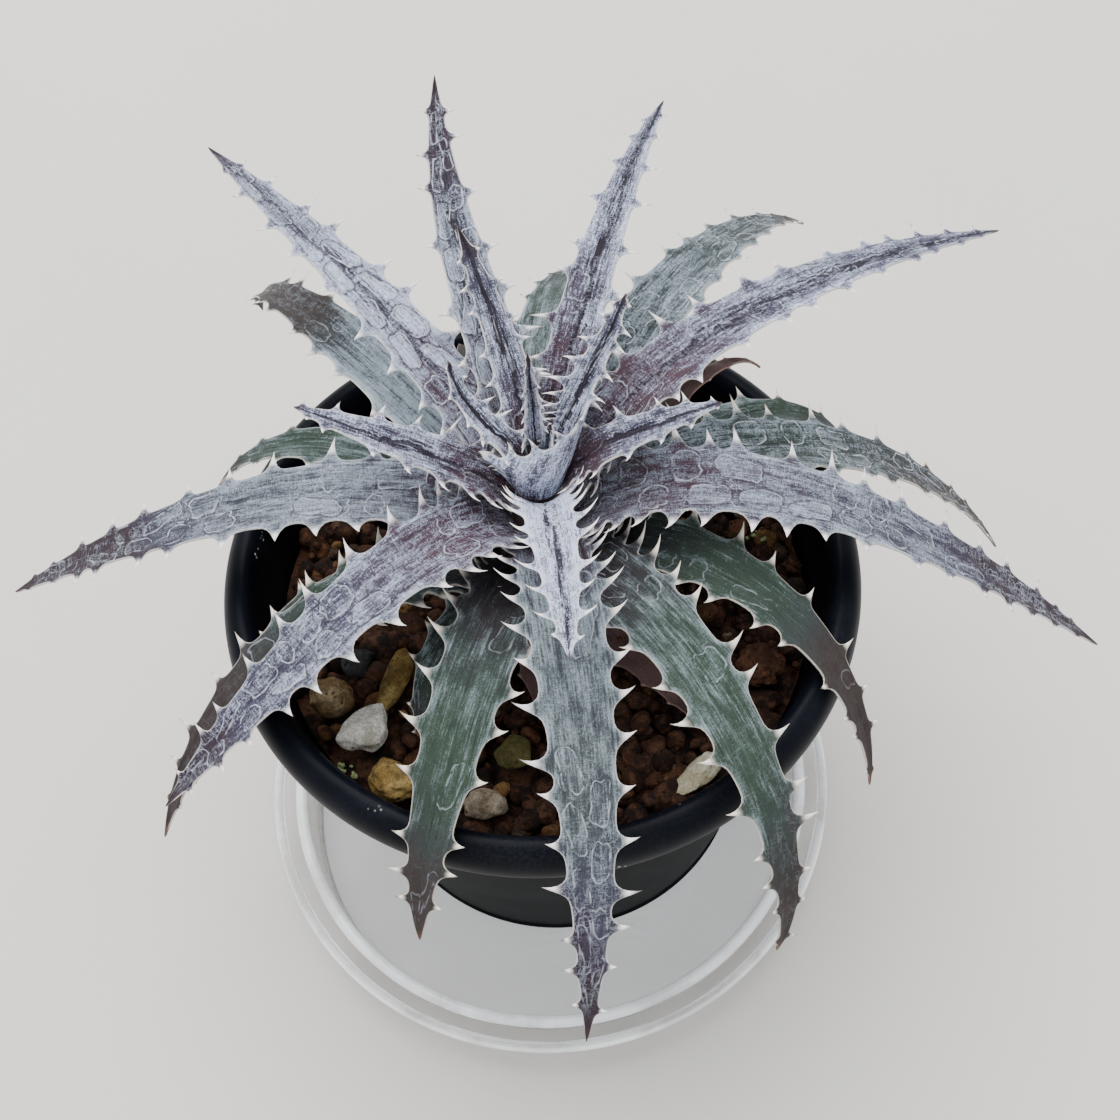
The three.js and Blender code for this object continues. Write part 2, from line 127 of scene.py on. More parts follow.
class Wiring:
    """Adds nodes to one tree. Every input is another node's output or a plain value."""

    def __init__(self, tree):
        self.tree = tree

    def join(self, value, socket):
        if isinstance(value, bpy.types.NodeSocket):
            self.tree.links.new(value, socket)
        else:
            socket.default_value = value

    def add(self, kind, settings=None, inputs=None):
        node = self.tree.nodes.new("ShaderNode" + kind)
        for key, value in (settings or {}).items():
            setattr(node, key, value)
        for key, value in (inputs or {}).items():
            self.join(value, node.inputs[key])
        return node

    def calc(self, operation, *values):
        return self.add("Math", {"operation": operation}, dict(enumerate(values))).outputs[0]

    def total(self, first, *others):
        for other in others:
            first = self.calc("ADD", first, other)
        return first

    def product(self, first, *others):
        for other in others:
            first = self.calc("MULTIPLY", first, other)
        return first

    def less(self, value, taken):
        """What is left of the value."""
        return self.calc("SUBTRACT", value, taken)

    def size(self, value):
        """The value without its sign."""
        return self.calc("ABSOLUTE", value)

    def vector(self, operation, *values):
        node = self.add("VectorMath", {"operation": operation}, dict(enumerate(values)))
        return node.outputs["Value" if operation in ("LENGTH", "DOT_PRODUCT") else "Vector"]

    def xyz(self, x, y, z):
        return self.add("CombineXYZ", None, {"X": x, "Y": y, "Z": z}).outputs[0]

    def parts(self, value):
        return self.add("SeparateXYZ", None, {"Vector": value}).outputs[:]

    def attribute(self, name):
        return self.add("Attribute", {"attribute_name": name}).outputs["Vector"]

    def noise(self, place, scale=1.0, detail=2.0, roughness=0.5):
        values = {"Vector": place, "Scale": scale, "Detail": detail, "Roughness": roughness}
        return self.add("TexNoise", None, values).outputs["Fac"]

    def cells(self, place, scale):
        return self.add("TexVoronoi", None, {"Vector": place, "Scale": scale}).outputs

    def ease(self, value, low, high, start=0.0, end=1.0):
        """Runs smoothly from start to end while value goes from low to high."""
        values = {"Value": value, "From Min": low, "From Max": high, "To Min": start, "To Max": end}
        return self.add("MapRange", {"interpolation_type": "SMOOTHSTEP"}, values).outputs[0]

    def mix(self, share, below, above):
        """The colour above laid on the colour below."""
        node = self.add("Mix", {"data_type": "RGBA"})
        for value, socket in zip((share, below, above), (node.inputs[0], node.inputs[6], node.inputs[7])):
            self.join(value, socket)
        return node.outputs[2]


def new_group(name, inputs, outputs):
    """An empty node group. inputs and outputs name the sockets: "v" vector, "f" value, "c" colour."""
    kinds = {"v": "NodeSocketVector", "f": "NodeSocketFloat", "c": "NodeSocketColor"}
    tree = bpy.data.node_groups.new(name, "ShaderNodeTree")
    for label, kind in inputs.items():
        tree.interface.new_socket(label, in_out="INPUT", socket_type=kinds[kind])
    for label, kind in outputs.items():
        tree.interface.new_socket(label, in_out="OUTPUT", socket_type=kinds[kind])
    wiring = Wiring(tree)
    source = tree.nodes.new("NodeGroupInput")
    sink = tree.nodes.new("NodeGroupOutput")
    return tree, wiring, source.outputs, sink.inputs


def place_group(wiring, tree, values):
    """Puts a node group in a material, with its own values. Returns the group's outputs."""
    node = wiring.tree.nodes.new("ShaderNodeGroup")
    node.node_tree = tree
    for key, value in values.items():
        wiring.join(value, node.inputs[key])
    return node.outputs


def new_material(name, constants=None):
    """A material with its surface shader, whose plain settings are given by name."""
    material = bpy.data.materials.new(name)
    material.use_nodes = True
    wiring = Wiring(material.node_tree)
    shader = material.node_tree.nodes["Principled BSDF"]
    for key, value in (constants or {}).items():
        shader.inputs[key].default_value = value
    return material, wiring, shader


def raise_bumps(wiring, shader, height, depth, strength=1.0):
    """Gives the surface relief from a height of 0 to 1, whose full depth is in millimetres."""
    values = {"Height": height, "Distance": depth * MM, "Strength": strength}
    bump = wiring.add("Bump", None, values)
    wiring.join(bump.outputs["Normal"], shader.inputs["Normal"])


def dust_group():
    """Fine dust and a few white specks of lime on a smooth surface."""
    tree, w, given, made = new_group(
        "dust", {"Place": "v", "Amount": "f", "Specks": "f"}, {"Film": "f", "Speck": "f"}
    )
    cloud = w.noise(given["Place"], 45, 4, 0.6)
    grains = w.noise(given["Place"], 1900, 2, 0.6)
    w.join(w.product(w.ease(cloud, 0.42, 0.72), w.ease(grains, 0.35, 0.7), given["Amount"]), made["Film"])
    near = w.cells(given["Place"], 1000)
    rare = w.calc("LESS_THAN", w.parts(near["Color"])[0], 0.35)
    some = w.ease(w.noise(given["Place"], 75, 1), 0.63, 0.7)
    w.join(w.product(w.ease(near["Distance"], 0.34, 0.2), rare, some, given["Specks"]), made["Speck"])
    return tree


DUST = dust_group()


def clear_plastic():
    """Thin clear sheet with painted highlights along its beads and bends, a grey film that dims what lies
    behind it and is partly painted shade, and more opaque where it is seen along its surface.
    """
    constants = {"Specular IOR Level": 0.5, "Subsurface Weight": 0.4}
    constants |= {"Subsurface Radius": (1, 1, 1), "Subsurface Scale": 0.003}
    material, w, shader = new_material("clear_plastic", constants)
    place = w.add("TexCoord").outputs["Object"]
    painted_highlight_share, dimming_and_shade, _ = w.parts(w.attribute("sheet"))
    dust = place_group(w, DUST, {"Place": place, "Amount": 0.3, "Specks": 0.0})
    grazing = w.add("LayerWeight", None, {"Blend": 0.35}).outputs["Facing"]
    flow_and_highlight_streaks = w.noise(w.vector("MULTIPLY", place, (1.0, 1.0, 0.2)), 55, 4, 0.6)
    # Painted highlight: streaked by the flow lines, which also give the sheet its relief.
    painted_highlight_share = w.product(painted_highlight_share, w.ease(flow_and_highlight_streaks, 0.36, 0.64, 0.6, 1.3))
    # White where the highlight is painted; elsewhere a grey film, partly painted shade.
    w.join(w.mix(w.ease(painted_highlight_share, 0.05, 0.5), paint("8a8984"), paint("fafbfc")), shader.inputs["Base Color"])
    solid = w.total(w.product(grazing, 0.2), painted_highlight_share, dimming_and_shade, w.product(dust["Film"], 0.08))
    w.join(solid, shader.inputs["Alpha"])
    w.join(w.total(0.1, dust["Film"]), shader.inputs["Roughness"])
    raise_bumps(w, shader, flow_and_highlight_streaks, 0.2)
    return material


SAUCER_SHEET = 1.0
SAUCER_FLOOR = 1.2
SAUCER_BASE = 54.4
SAUCER_CORNERS = [0.8, 1.5]  # radius outside and inside, where the floor turns up
SAUCER_BRIM = 54.8  # inner radius of the brim
INNER_BEAD = [1.25, 1.0]  # half-width and rise over the brim
OUTER_BEAD = [1.0, 1.4]  # half-width and half-height

saucer_low, saucer_high = box_of("saucer")
saucer_centre = (saucer_low + saucer_high) / 2
saucer_rim = (saucer_high[0] - saucer_low[0]) / 2
saucer_height = saucer_high[2]
brim_top = saucer_height - INNER_BEAD[1]


def saucer_outline():
    base, inner_base, brim = SAUCER_BASE, SAUCER_BASE - SAUCER_SHEET, SAUCER_BRIM
    outside, inside = SAUCER_CORNERS
    under = brim_top - SAUCER_SHEET
    wall = []
    inner_wall = []
    for share in (0.3, 0.6, 0.85, 0.97):
        wall.append((base + (brim + SAUCER_SHEET - base) * share, under * share))
        inner_wall.append((inner_base + (brim - inner_base) * share, brim_top * share))
    bead = (saucer_rim - OUTER_BEAD[0], saucer_height - OUTER_BEAD[1])
    return (
        [(0, 0), (20, 0), (40, 0), (base - 2 * outside, 0)]
        + arc((base - outside, outside), (outside, outside), -90, 0, 6)
        + wall
        + [(brim + SAUCER_SHEET + 0.4, under), (saucer_rim - 2 * OUTER_BEAD[0] - 0.6, under)]
        + arc(bead, OUTER_BEAD, -155, 163, 18)
        + [(saucer_rim - 2 * OUTER_BEAD[0] - reach, brim_top) for reach in (0.3, 0.8)]
        + [(brim + 2 * INNER_BEAD[0] + reach, brim_top) for reach in (0.8, 0.3)]
        + arc((brim + INNER_BEAD[0], brim_top), INNER_BEAD, 2, 178, 15)
        + inner_wall[::-1]
        + arc((inner_base - inside, SAUCER_FLOOR + inside), (inside, inside), 0, -90, 7)
        + [(50, SAUCER_FLOOR), (40, SAUCER_FLOOR), (20, SAUCER_FLOOR), (0, SAUCER_FLOOR)]
    )


def saucer_cast(points):
    """How much painted highlight each point has, most of all along the two beads, and how much the
    sheet dims what lies behind it, which on the floor is also painted shade from the pot."""
    radius, height = np.hypot(points[:, 0], points[:, 1]), points[:, 2]
    painted_highlight = np.zeros(len(points))
    # The floor's grey film is partly the sheet's own dimming and partly painted shade from the pot.
    dimming_and_shade = np.full(len(points), 0.15)
    on_wall = (radius > SAUCER_BASE - SAUCER_SHEET - 0.1) & (height > 1.5)
    painted_highlight[on_wall], dimming_and_shade[on_wall] = 0.06, 0.07
    # A painted highlight round the outer edge of the foot.
    painted_highlight[(radius > SAUCER_BASE - 0.6) & (height < 1.5)] = 0.3
    on_brim = (height > brim_top - SAUCER_SHEET - 0.2) & (radius > SAUCER_BRIM + 0.5)
    painted_highlight[on_brim], dimming_and_shade[on_brim] = 0.08, 0.05
    # Painted highlights along the two beads, weaker on the outer bead's crest.
    inner = abs(radius - SAUCER_BRIM - INNER_BEAD[0]) <= INNER_BEAD[0]
    painted_highlight[inner & (height > brim_top + 0.01)] = 0.75
    outer = radius > saucer_rim - 2 * OUTER_BEAD[0]
    crest = outer & (abs(radius - saucer_rim + OUTER_BEAD[0]) < 0.5) & (height > brim_top)
    painted_highlight[outer & (height > brim_top - SAUCER_SHEET)] = 0.7
    painted_highlight[crest] = 0.4
    return np.stack([painted_highlight, dimming_and_shade, painted_highlight], -1)


saucer_points, saucer_faces = turned(saucer_outline())
saucer_values = {"sheet": saucer_cast(saucer_points)}
saucer_points += (saucer_centre[0], saucer_centre[1], 0)
add_piece(
    "clear_saucer", saucer_points, saucer_faces, clear_plastic(), ["saucer"], 40, saucer_values
)


# ---------------------------------------------------------------------------------------------
# Pot
# A black nursery pot, injection moulded in one shot: a tapered wall, a half-round rolled collar
# to lift it by, and a foot ring round a floor with drain holes. It stands in the saucer.
# ---------------------------------------------------------------------------------------------

COLLAR = [56.0, 87.0, 4.0, 5.2]  # radius and height of its centre, then its two half-axes
COLLAR_TUCK = -58  # degrees at which the collar turns under, below its widest line
COLLAR_NECK = 6.0  # from the top down to where the collar's inside meets the wall
POT_MOUTH = 53.6
POT_WALL = 1.8
POT_FLOOR = 2.4
POT_FOOT = [41.5, 2.0, 3.5]  # radius, height and width of the foot ring
POT_EDGES = [0.6, 0.8, 1.5]  # rounding of the foot ring inside and outside, and of the inner floor
UNDER_COLLAR = 5.0  # from the collar's widest line down to where the wall meets it
DRAIN = [24.0, 4.0, 6]  # the drain holes' circle, radius and number

pot_low, pot_high = box_of("pot")
pot_floor_top = pot_low[2] + POT_FOOT[1] + POT_FLOOR
collar_neck = pot_high[2] - COLLAR_NECK


def pot_inside(height):
    """The wall's inner radius at a height."""
    share = (height - pot_floor_top) / (collar_neck - pot_floor_top)
    foot = POT_FOOT[0] - POT_WALL
    return foot + (POT_MOUTH - foot) * min(share, 1)


def pot_outline():
    radius, height, half_width, half_height = COLLAR
    foot_radius, ring_height, ring_width = POT_FOOT
    inner, outer, corner = POT_EDGES
    foot = pot_low[2]
    under = height - UNDER_COLLAR
    body = []
    for z in np.linspace(foot + 1, under - 1.5, 24):
        body.append((pot_inside(z) + POT_WALL, z))
    inside = []
    for z in np.linspace(collar_neck - 1, pot_floor_top + corner, 16):
        inside.append((pot_inside(z), z))
    return (
        [(0, foot + ring_height), (15, foot + ring_height)]
        + [(foot_radius - ring_width - 0.4, foot + ring_height)]
        + arc((foot_radius - ring_width + inner, foot + inner), (inner, inner), 180, 270, 5)
        + arc((foot_radius - outer, foot + outer), (outer, outer), 270, 350, 6)
        + body
        + arc((pot_inside(under) + POT_WALL + 0.9, under - 0.6), (0.8, 0.8), 170, 90, 5)
        + arc((radius, height), (half_width, half_height), COLLAR_TUCK - 12, COLLAR_TUCK, 4)
        + arc((radius, height), (half_width, half_height), COLLAR_TUCK + 6, 90, 26)
        + arc((radius, height + 0.2), (radius - POT_MOUTH, half_height - 0.2), 95, 172, 12)
        + inside
        + arc((pot_inside(pot_floor_top) - corner, pot_floor_top + corner), (corner, corner), 0, -90, 5)
        + [(25, pot_floor_top), (0, pot_floor_top)]
    )


def black_plastic():
    material, w, shader = new_material("black_plastic", {"Specular IOR Level": 0.06})
    place = w.add("TexCoord").outputs["Object"]
    height = w.parts(place)[2]
    collar = w.ease(height, 0.0805, 0.0835)
    dust = place_group(w, DUST, {"Place": place, "Amount": 0.35, "Specks": 1.0})
    mottle = w.ease(w.noise(place, 90, 4, 0.6), 0.35, 0.7)
    body = w.mix(mottle, paint("0b0c0e"), paint("121315"))
    # The collar is a darker, bluer copy of the same plastic: painted sheen of the sky on it.
    rim = w.mix(mottle, paint("060910"), paint("0a0d15"))
    plastic = w.mix(collar, body, rim)
    dusty = w.mix(w.product(dust["Film"], 0.12), plastic, paint("6d6a68"))
    lime = w.product(dust["Speck"], w.ease(height, 0.055, 0.085))
    w.join(w.mix(lime, dusty, paint("d8d8d2")), shader.inputs["Base Color"])
    rough = w.total(w.ease(collar, 0, 1, 0.62, 0.42), w.product(dust["Film"], 0.1))
    w.join(rough, shader.inputs["Roughness"])
    raise_bumps(w, shader, w.noise(place, 1400, 3, 0.6), 0.05, 0.25)
    return material


pot_points, pot_faces = turned(pot_outline())
pot = add_piece("black_pot", pot_points, pot_faces, black_plastic(), ["pot"])

drill = bpy.data.objects.new("drill", bpy.data.meshes.new("drill"))
bpy.context.scene.collection.objects.link(drill)
drain_circle, drain_radius, drain_count = DRAIN
drill_points = []
drill_faces = []
for i in range(drain_count):
    angle = 2 * math.pi * i / drain_count
    top, bottom = pot_floor_top + 1, pot_low[2] + 0.5
    outline = [(0, bottom), (drain_radius, bottom), (drain_radius, top), (0, top)]
    hole_points, hole_faces = turned(outline, 32)
    hole_points += (drain_circle * math.cos(angle), drain_circle * math.sin(angle), 0)
    drill_faces += [[k + len(drill_points) for k in face] for face in hole_faces]
    drill_points += hole_points.tolist()
drill.data.from_pydata((np.array(drill_points) * MM).tolist(), [], drill_faces)
cut = pot.modifiers.new("drain_holes", "BOOLEAN")
cut.operation = "DIFFERENCE"
cut.object = drill
cut.solver = "EXACT"
with bpy.context.temp_override(object=pot, active_object=pot, selected_objects=[pot]):
    bpy.ops.object.modifier_apply(modifier=cut.name)
bpy.data.objects.remove(drill)


# ---------------------------------------------------------------------------------------------
# Grit
# Fired-clay and lava grains, washed and poured loose round the roots. They lie in a layer over
# a bed of the same, with dust and crumbs between them.
# ---------------------------------------------------------------------------------------------

GRIT_LEVEL = 75.4  # height of the middles of the top layer's grains
GRAIN_SPACING = 4.1
GRAIN_RADII = [1.6, 2.9]
LOOSE_GRAINS = 420
LOOSE_RADII = [0.8, 2.2]
CRUMBS = 520
CRUMB_RADII = [0.35, 0.9]  # smallest and largest, as for the grains
STEM_AXIS = np.array([1.0, 3.0])
STEM_HOLE = 12.0  # radius kept free of grains round that axis

SEED = 7
rng = np.random.default_rng(SEED)


def unit(vectors):
    return vectors / np.linalg.norm(vectors, axis=-1, keepdims=True)


def round_lump(cuts):
    """Unit directions and faces of a sphere made from a cube with that many cuts a side."""
    line = np.linspace(-1, 1, cuts + 1)
    found = {}
    faces = []

    def index(corner):
        key = tuple(np.round(corner, 6))
        return found.setdefault(key, len(found))

    for axis in range(3):
        for end in (-1, 1):
            for i in range(cuts):
                for j in range(cuts):
                    corners = []
                    for a, b in ((i, j), (i + 1, j), (i + 1, j + 1), (i, j + 1)):
                        corner = np.zeros(3)
                        corner[axis] = end
                        corner[(axis + 1) % 3] = line[a]
                        corner[(axis + 2) % 3] = line[b]
                        corners.append(index(corner))
                    faces.append(corners if end > 0 else corners[::-1])
    points = np.tan(np.array(list(found)) * math.pi / 4)
    return points / np.linalg.norm(points, axis=1)[:, None], faces


def lumpy(directions, amount, draw, waves=5, fineness=(1.5, 3.5)):
    """How far each point of a rough lump stands out, from a few random waves over it."""
    swell = np.ones(len(directions))
    for _ in range(waves):
        way = draw.normal(size=3)
        way *= draw.uniform(*fineness) / np.linalg.norm(way)
        swell += amount / math.sqrt(waves) * np.sin(directions @ way + draw.uniform(0, 6.28))
    return swell


def random_turn(draw):
    """A rotation with every direction alike."""
    q = draw.normal(size=4)
    w, x, y, z = q / np.linalg.norm(q)
    return np.array([
        [1 - 2 * (y * y + z * z), 2 * (x * y - z * w), 2 * (x * z + y * w)],
        [2 * (x * y + z * w), 1 - 2 * (x * x + z * z), 2 * (y * z - x * w)],
        [2 * (x * z - y * w), 2 * (y * z + x * w), 1 - 2 * (x * x + y * y)],
    ])


STONES = {
    # name: half-axes, turn in degrees, how angular, colours of the face, the pits (painted shade in the
    # pores, also the dark of the dirt and sand) and the stain
    "stone_tan": ([4.6, 4.2, 4.0], 20, 0.3, "7d6440", "38281a", "b09a76"),
    "stone_slate": ([3.2, 3.4, 3.0], 0, 0.6, "333334", "1a1a1b", "4a4a4b"),
    "stone_ochre_long": ([2.6, 6.0, 3.4], -20, 0.3, "7c6230", "3f3016", "a38b50"),
    "stone_pumice": ([5.2, 4.0, 3.8], 12, 0.9, "f6f1e4", "857c66", "fffdf6"),
    "stone_ochre": ([5.4, 4.0, 3.6], -30, 0.5, "8b703a", "41301a", "ab9055"),
    "stone_beige": ([4.4, 3.0, 2.8], 0, 0.4, "93826a", "4f4435", "bcae98"),
    "stone_olive": ([4.2, 3.2, 2.8], 10, 0.4, "565028", "2a2715", "6c6439"),
    "stone_cream": ([4.4, 2.8, 2.6], 35, 0.9, "c3b898", "77694c", "ddd5bc"),
    "stone_brown": ([5.2, 4.6, 3.8], 0, 0.0, "4f3120", "21140e", "6b462f"),
}


def clear_of_stones(x, y, margin):
    """True where a grain of that size would not reach far into a stone or the stem."""
    if math.hypot(x - STEM_AXIS[0], y - STEM_AXIS[1]) < STEM_HOLE + margin:
        return False
    for stone in STONES:
        low, high = box_of(stone)
        middle = (low + high) / 2
        half = (high - low) / 2
        if math.hypot((x - middle[0]) / (half[0] + margin), (y - middle[1]) / (half[1] + margin)) < 1:
            return False
    return True


def bedded_places():
    """Centres and radii of a close layer of grains, on a jittered grid."""
    places = []
    mouth = pot_inside(GRIT_LEVEL) - 0.6
    row_step = GRAIN_SPACING * math.sqrt(3) / 2
    rows = int(mouth / row_step) + 1
    for row in range(-rows, rows + 1):
        for column in range(-rows - 2, rows + 3):
            x = (column + (row % 2) / 2) * GRAIN_SPACING + rng.uniform(-0.9, 0.9)
            y = row * row_step + rng.uniform(-0.9, 0.9)
            radius = rng.uniform(*GRAIN_RADII)
            z = GRIT_LEVEL + rng.uniform(-0.7, 0.9)
            if math.hypot(x, y) + radius < mouth + 0.6 and clear_of_stones(x, y, 0.0):
                places.append((x, y, z, radius))
    return places


def scattered_places(count, radii, lift, bare=0.5):
    """Centres and radii of grains strewn evenly over the layer, at some height above it."""
    places = []
    mouth = pot_inside(GRIT_LEVEL) - 1.5
    while len(places) < count:
        reach = mouth * math.sqrt(rng.uniform(0, 1))
        heading = rng.uniform(0, 2 * math.pi)
        x, y = reach * math.cos(heading), reach * math.sin(heading)
        radius = rng.uniform(*radii)
        if clear_of_stones(x, y, radius * bare):
            places.append((x, y, GRIT_LEVEL + rng.uniform(*lift), radius))
    return places


def grain_meshes(places, cuts, roughness):
    """All the grains of one layer as one mesh, each with its own colour draw."""
    ball, ball_faces = round_lump(cuts)
    points = []
    faces = []
    draws = []
    for x, y, z, radius in places:
        size = radius * rng.uniform(0.78, 1.15, 3)
        lump = ball * lumpy(ball, roughness, rng)[:, None] * size
        first = len(points) * len(ball)
        points.append(lump @ random_turn(rng).T + (x, y, z))
        faces += [[k + first for k in face] for face in ball_faces]
        draws.append(np.tile((rng.uniform(), rng.uniform(), radius), (len(ball), 1)))
    return np.concatenate(points), faces, {"grain": np.concatenate(draws)}


def rock_group():
    """Porous stone: blotches, pits darkened as painted shade, and a sandy tooth."""
    tree, w, given, made = new_group(
        "rock",
        {"Place": "v", "Grain": "f", "Face": "c", "Pits": "c", "Stain": "c"},
        {"Colour": "c", "Height": "f"},
    )
    place = given["Place"]

    def noise(fineness, detail, roughness):
        return w.noise(place, w.product(given["Grain"], fineness), detail, roughness)

    blotch = w.ease(noise(260, 5, 0.65), 0.42, 0.6)
    dirt = w.ease(noise(180, 4, 0.7), 0.5, 0.38)
    sparse = w.ease(noise(420, 2, 0.5), 0.5, 0.62)
    sand = noise(2600, 3, 0.7)
    pores = w.cells(place, w.product(given["Grain"], 900))["Distance"]
    pits = w.product(w.ease(pores, 0.32, 0.12), sparse)
    colour = w.mix(blotch, given["Face"], given["Stain"])
    colour = w.mix(w.product(dirt, 0.6), colour, given["Pits"])
    colour = w.mix(w.ease(sand, 0.35, 0.65, 0.5, 0.0), colour, given["Pits"])
    # Painted shade: the pores are darkened towards the pit colour.
    w.join(w.mix(w.product(pits, 0.85), colour, given["Pits"]), made["Colour"])
    height = w.less(w.total(w.product(sand, 0.35), blotch), pits)
    w.join(height, made["Height"])
    return tree


ROCK = rock_group()

GRAIN_PAINTS = [
    # share of the grains from which each colour runs, in the order drawn
    (0.00, "1a120f"), (0.20, "261a15"), (0.42, "32221a"), (0.58, "402a1e"), (0.70, "23201d"),
    (0.79, "573826"), (0.86, "6b4a2f"), (0.92, "4c443b"), (0.945, "8a6a40"), (0.975, "928770"),
]


def grain_material():
    material, w, shader = new_material("clay_grains", {"Specular IOR Level": 0.25})
    place = w.add("TexCoord").outputs["Object"]
    draw, other, _ = w.parts(w.attribute("grain"))
    ramp = w.add("ValToRGB", None, {"Fac": draw})
    ramp.color_ramp.interpolation = "CONSTANT"
    stops = ramp.color_ramp.elements
    stops.remove(stops[-1])
    stops[0].color = paint(GRAIN_PAINTS[0][1])
    for position, code in GRAIN_PAINTS[1:]:
        stops.new(position).color = paint(code)
    own = ramp.outputs["Color"]
    # Each grain is darkened by its own random draw; the bed's draw darkens it near the most, as painted
    # shade in the gaps.
    tone_and_bed_shade = w.mix(w.ease(other, 0, 1, 0.0, 0.45), own, paint("1d110c"))
    stain = w.mix(0.35, own, paint("8a5a3c"))
    shifted = w.vector("ADD", place, w.xyz(draw, other, 0.0))
    # The pit colour is painted shade in the pores, and the dark of the dirt and sand.
    values = {"Place": shifted, "Grain": 1.0, "Face": tone_and_bed_shade, "Pits": paint("150c09"), "Stain": stain}
    rock = place_group(w, ROCK, values)
    w.join(rock["Colour"], shader.inputs["Base Color"])
    w.join(w.ease(rock["Height"], 0, 1.2, 0.95, 0.8), shader.inputs["Roughness"])
    raise_bumps(w, shader, rock["Height"], 0.25)
    return material


clay = grain_material()
grit_points, grit_faces, grit_values = grain_meshes(bedded_places(), 4, 0.32)

# The bed under the grains fills the pot down to its floor, round the stem.
bed_level = GRIT_LEVEL - 0.9
bed_outline = [(0, pot_floor_top + 0.3), (pot_inside(pot_floor_top) - 0.4, pot_floor_top + 0.3)]
bed_outline += [(pot_inside(bed_level) - 0.4, bed_level), (30, bed_level), (0, bed_level)]
bed_points, bed_faces = turned(bed_outline, 96)
# The bed takes the darkest grain colour and heavy darkening: painted shade in the gaps between the grains.
bed_shade_draws = np.tile((0.1, 0.9, 1.0), (len(bed_points), 1))
grit_faces += [[k + len(grit_points) for k in face] for face in bed_faces]
grit_points = np.concatenate([grit_points, bed_points])
grit_values["grain"] = np.concatenate([grit_values["grain"], bed_shade_draws])
add_piece("clay_grit", grit_points, grit_faces, clay, ["grit"], values=grit_values)

loose_places = scattered_places(LOOSE_GRAINS, LOOSE_RADII, (1.1, 2.1))
loose_points, loose_faces, loose_values = grain_meshes(loose_places, 4, 0.34)
add_piece("loose_clay_grit", loose_points, loose_faces, clay, values=loose_values)

# Small crumbs lie in the dips between the grains.
crumb_places = scattered_places(CRUMBS, CRUMB_RADII, (0.3, 2.2), 0)
crumb_points, crumb_faces, crumb_values = grain_meshes(crumb_places, 2, 0.3)
add_piece("clay_crumbs", crumb_points, crumb_faces, clay, values=crumb_values)


# ---------------------------------------------------------------------------------------------
# Stones
# Rounded pumice, tuff and river gravel, a few of each, that came with the grit and have worked
# up to its surface, where they lie half bedded.
# ---------------------------------------------------------------------------------------------

STONE_CUTS = 24
STONE_BREAKS = 13  # broken faces of an angular one
STONE_WAVES = {"broad": (0.14, 4, (1.2, 2.6)), "fine": (0.05, 16, (5.0, 12.0))}
CLUMPED = {"stone_brown": 110}  # a stone of fused crumbs, and how many of them show


def facets(directions, draw):
    """How far out a block of broken faces reaches."""
    faces = unit(draw.normal(size=(STONE_BREAKS, 3)))
    depth = draw.uniform(0.78, 1.0, STONE_BREAKS)
    cosines = np.maximum(directions @ faces.T, 0.05)
    return 1 / np.sum((cosines / depth) ** 14, axis=1) ** (1 / 14)


def crumbs(directions, draw, count):
    """How far out a ball of that many fused round crumbs reaches."""
    centres = unit(draw.normal(size=(count, 3)))
    nearest = np.arccos(np.clip(np.max(directions @ centres.T, axis=1), -1, 1))
    return 0.8 + 0.26 * np.sqrt(np.maximum(1 - (nearest / 0.25) ** 2, 0))


def stone_material(name, face, pits, stain):
    material, w, shader = new_material(name + "_face", {"Specular IOR Level": 0.3})
    place = w.add("TexCoord").outputs["Object"]
    # The pit colour is painted shade in the pores, and the dark of the dirt and sand.
    values = {"Place": place, "Grain": 0.8, "Face": paint(face), "Pits": paint(pits)}
    rock = place_group(w, ROCK, values | {"Stain": paint(stain)})
    w.join(rock["Colour"], shader.inputs["Base Color"])
    w.join(w.ease(rock["Height"], 0, 1.2, 0.9, 0.7), shader.inputs["Roughness"])
    raise_bumps(w, shader, rock["Height"], 0.2)
    return material


for number, (name, sizes) in enumerate(STONES.items()):
    half_axes, degrees, angular, face, pits, stain = sizes
    low, high = box_of(name)
    draw = np.random.default_rng(300 + number)
    directions, stone_faces = round_lump(STONE_CUTS)
    swell = 1 - angular + angular * facets(directions, draw)
    for amount, waves, fineness in STONE_WAVES.values():
        swell *= lumpy(directions, amount, draw, waves, fineness)
    swell /= np.percentile(swell, 85)
    if name in CLUMPED:
        swell *= crumbs(directions, draw, CLUMPED[name])
    stone_points = directions * swell[:, None] * half_axes
    around = Matrix.Rotation(math.radians(degrees), 3, "Z")
    stone_points = stone_points @ np.array(around).T + (low + high) / 2
    material = stone_material(name, face, pits, stain)
    add_piece(name + "_lump", stone_points, stone_faces, material, [name])


# ---------------------------------------------------------------------------------------------
# Moss
# A few pale green crumbs of moss that have started on damp grains near the collar.
# ---------------------------------------------------------------------------------------------

MOSS_SPOTS = [(-38.5, -33.5), (-37.0, -35.5), (43.0, 10.5), (41.0, 6.0), (38.5, -29.0)]
MOSS_TUFTS = 10
MOSS_SPREAD = 1.1


def moss_material():
    material, w, shader = new_material("moss", {"Roughness": 0.95})
    place = w.add("TexCoord").outputs["Object"]
    fuzz = w.noise(place, 1500, 3, 0.7)
    w.join(w.mix(fuzz, paint("5e6d33"), paint("c3cf96")), shader.inputs["Base Color"])
    raise_bumps(w, shader, fuzz, 0.3)
    return material


moss_places = []
for x, y in MOSS_SPOTS:
    for _ in range(MOSS_TUFTS):
        dx, dy = rng.normal(0, MOSS_SPREAD * 0.6, 2)
        moss_places.append((x + dx, y + dy, GRIT_LEVEL + rng.uniform(1.6, 3.0), rng.uniform(0.25, 0.6)))
moss_points, moss_faces, moss_values = grain_meshes(moss_places, 3, 0.35)
add_piece("moss_crumbs", moss_points, moss_faces, moss_material(), values=moss_values)


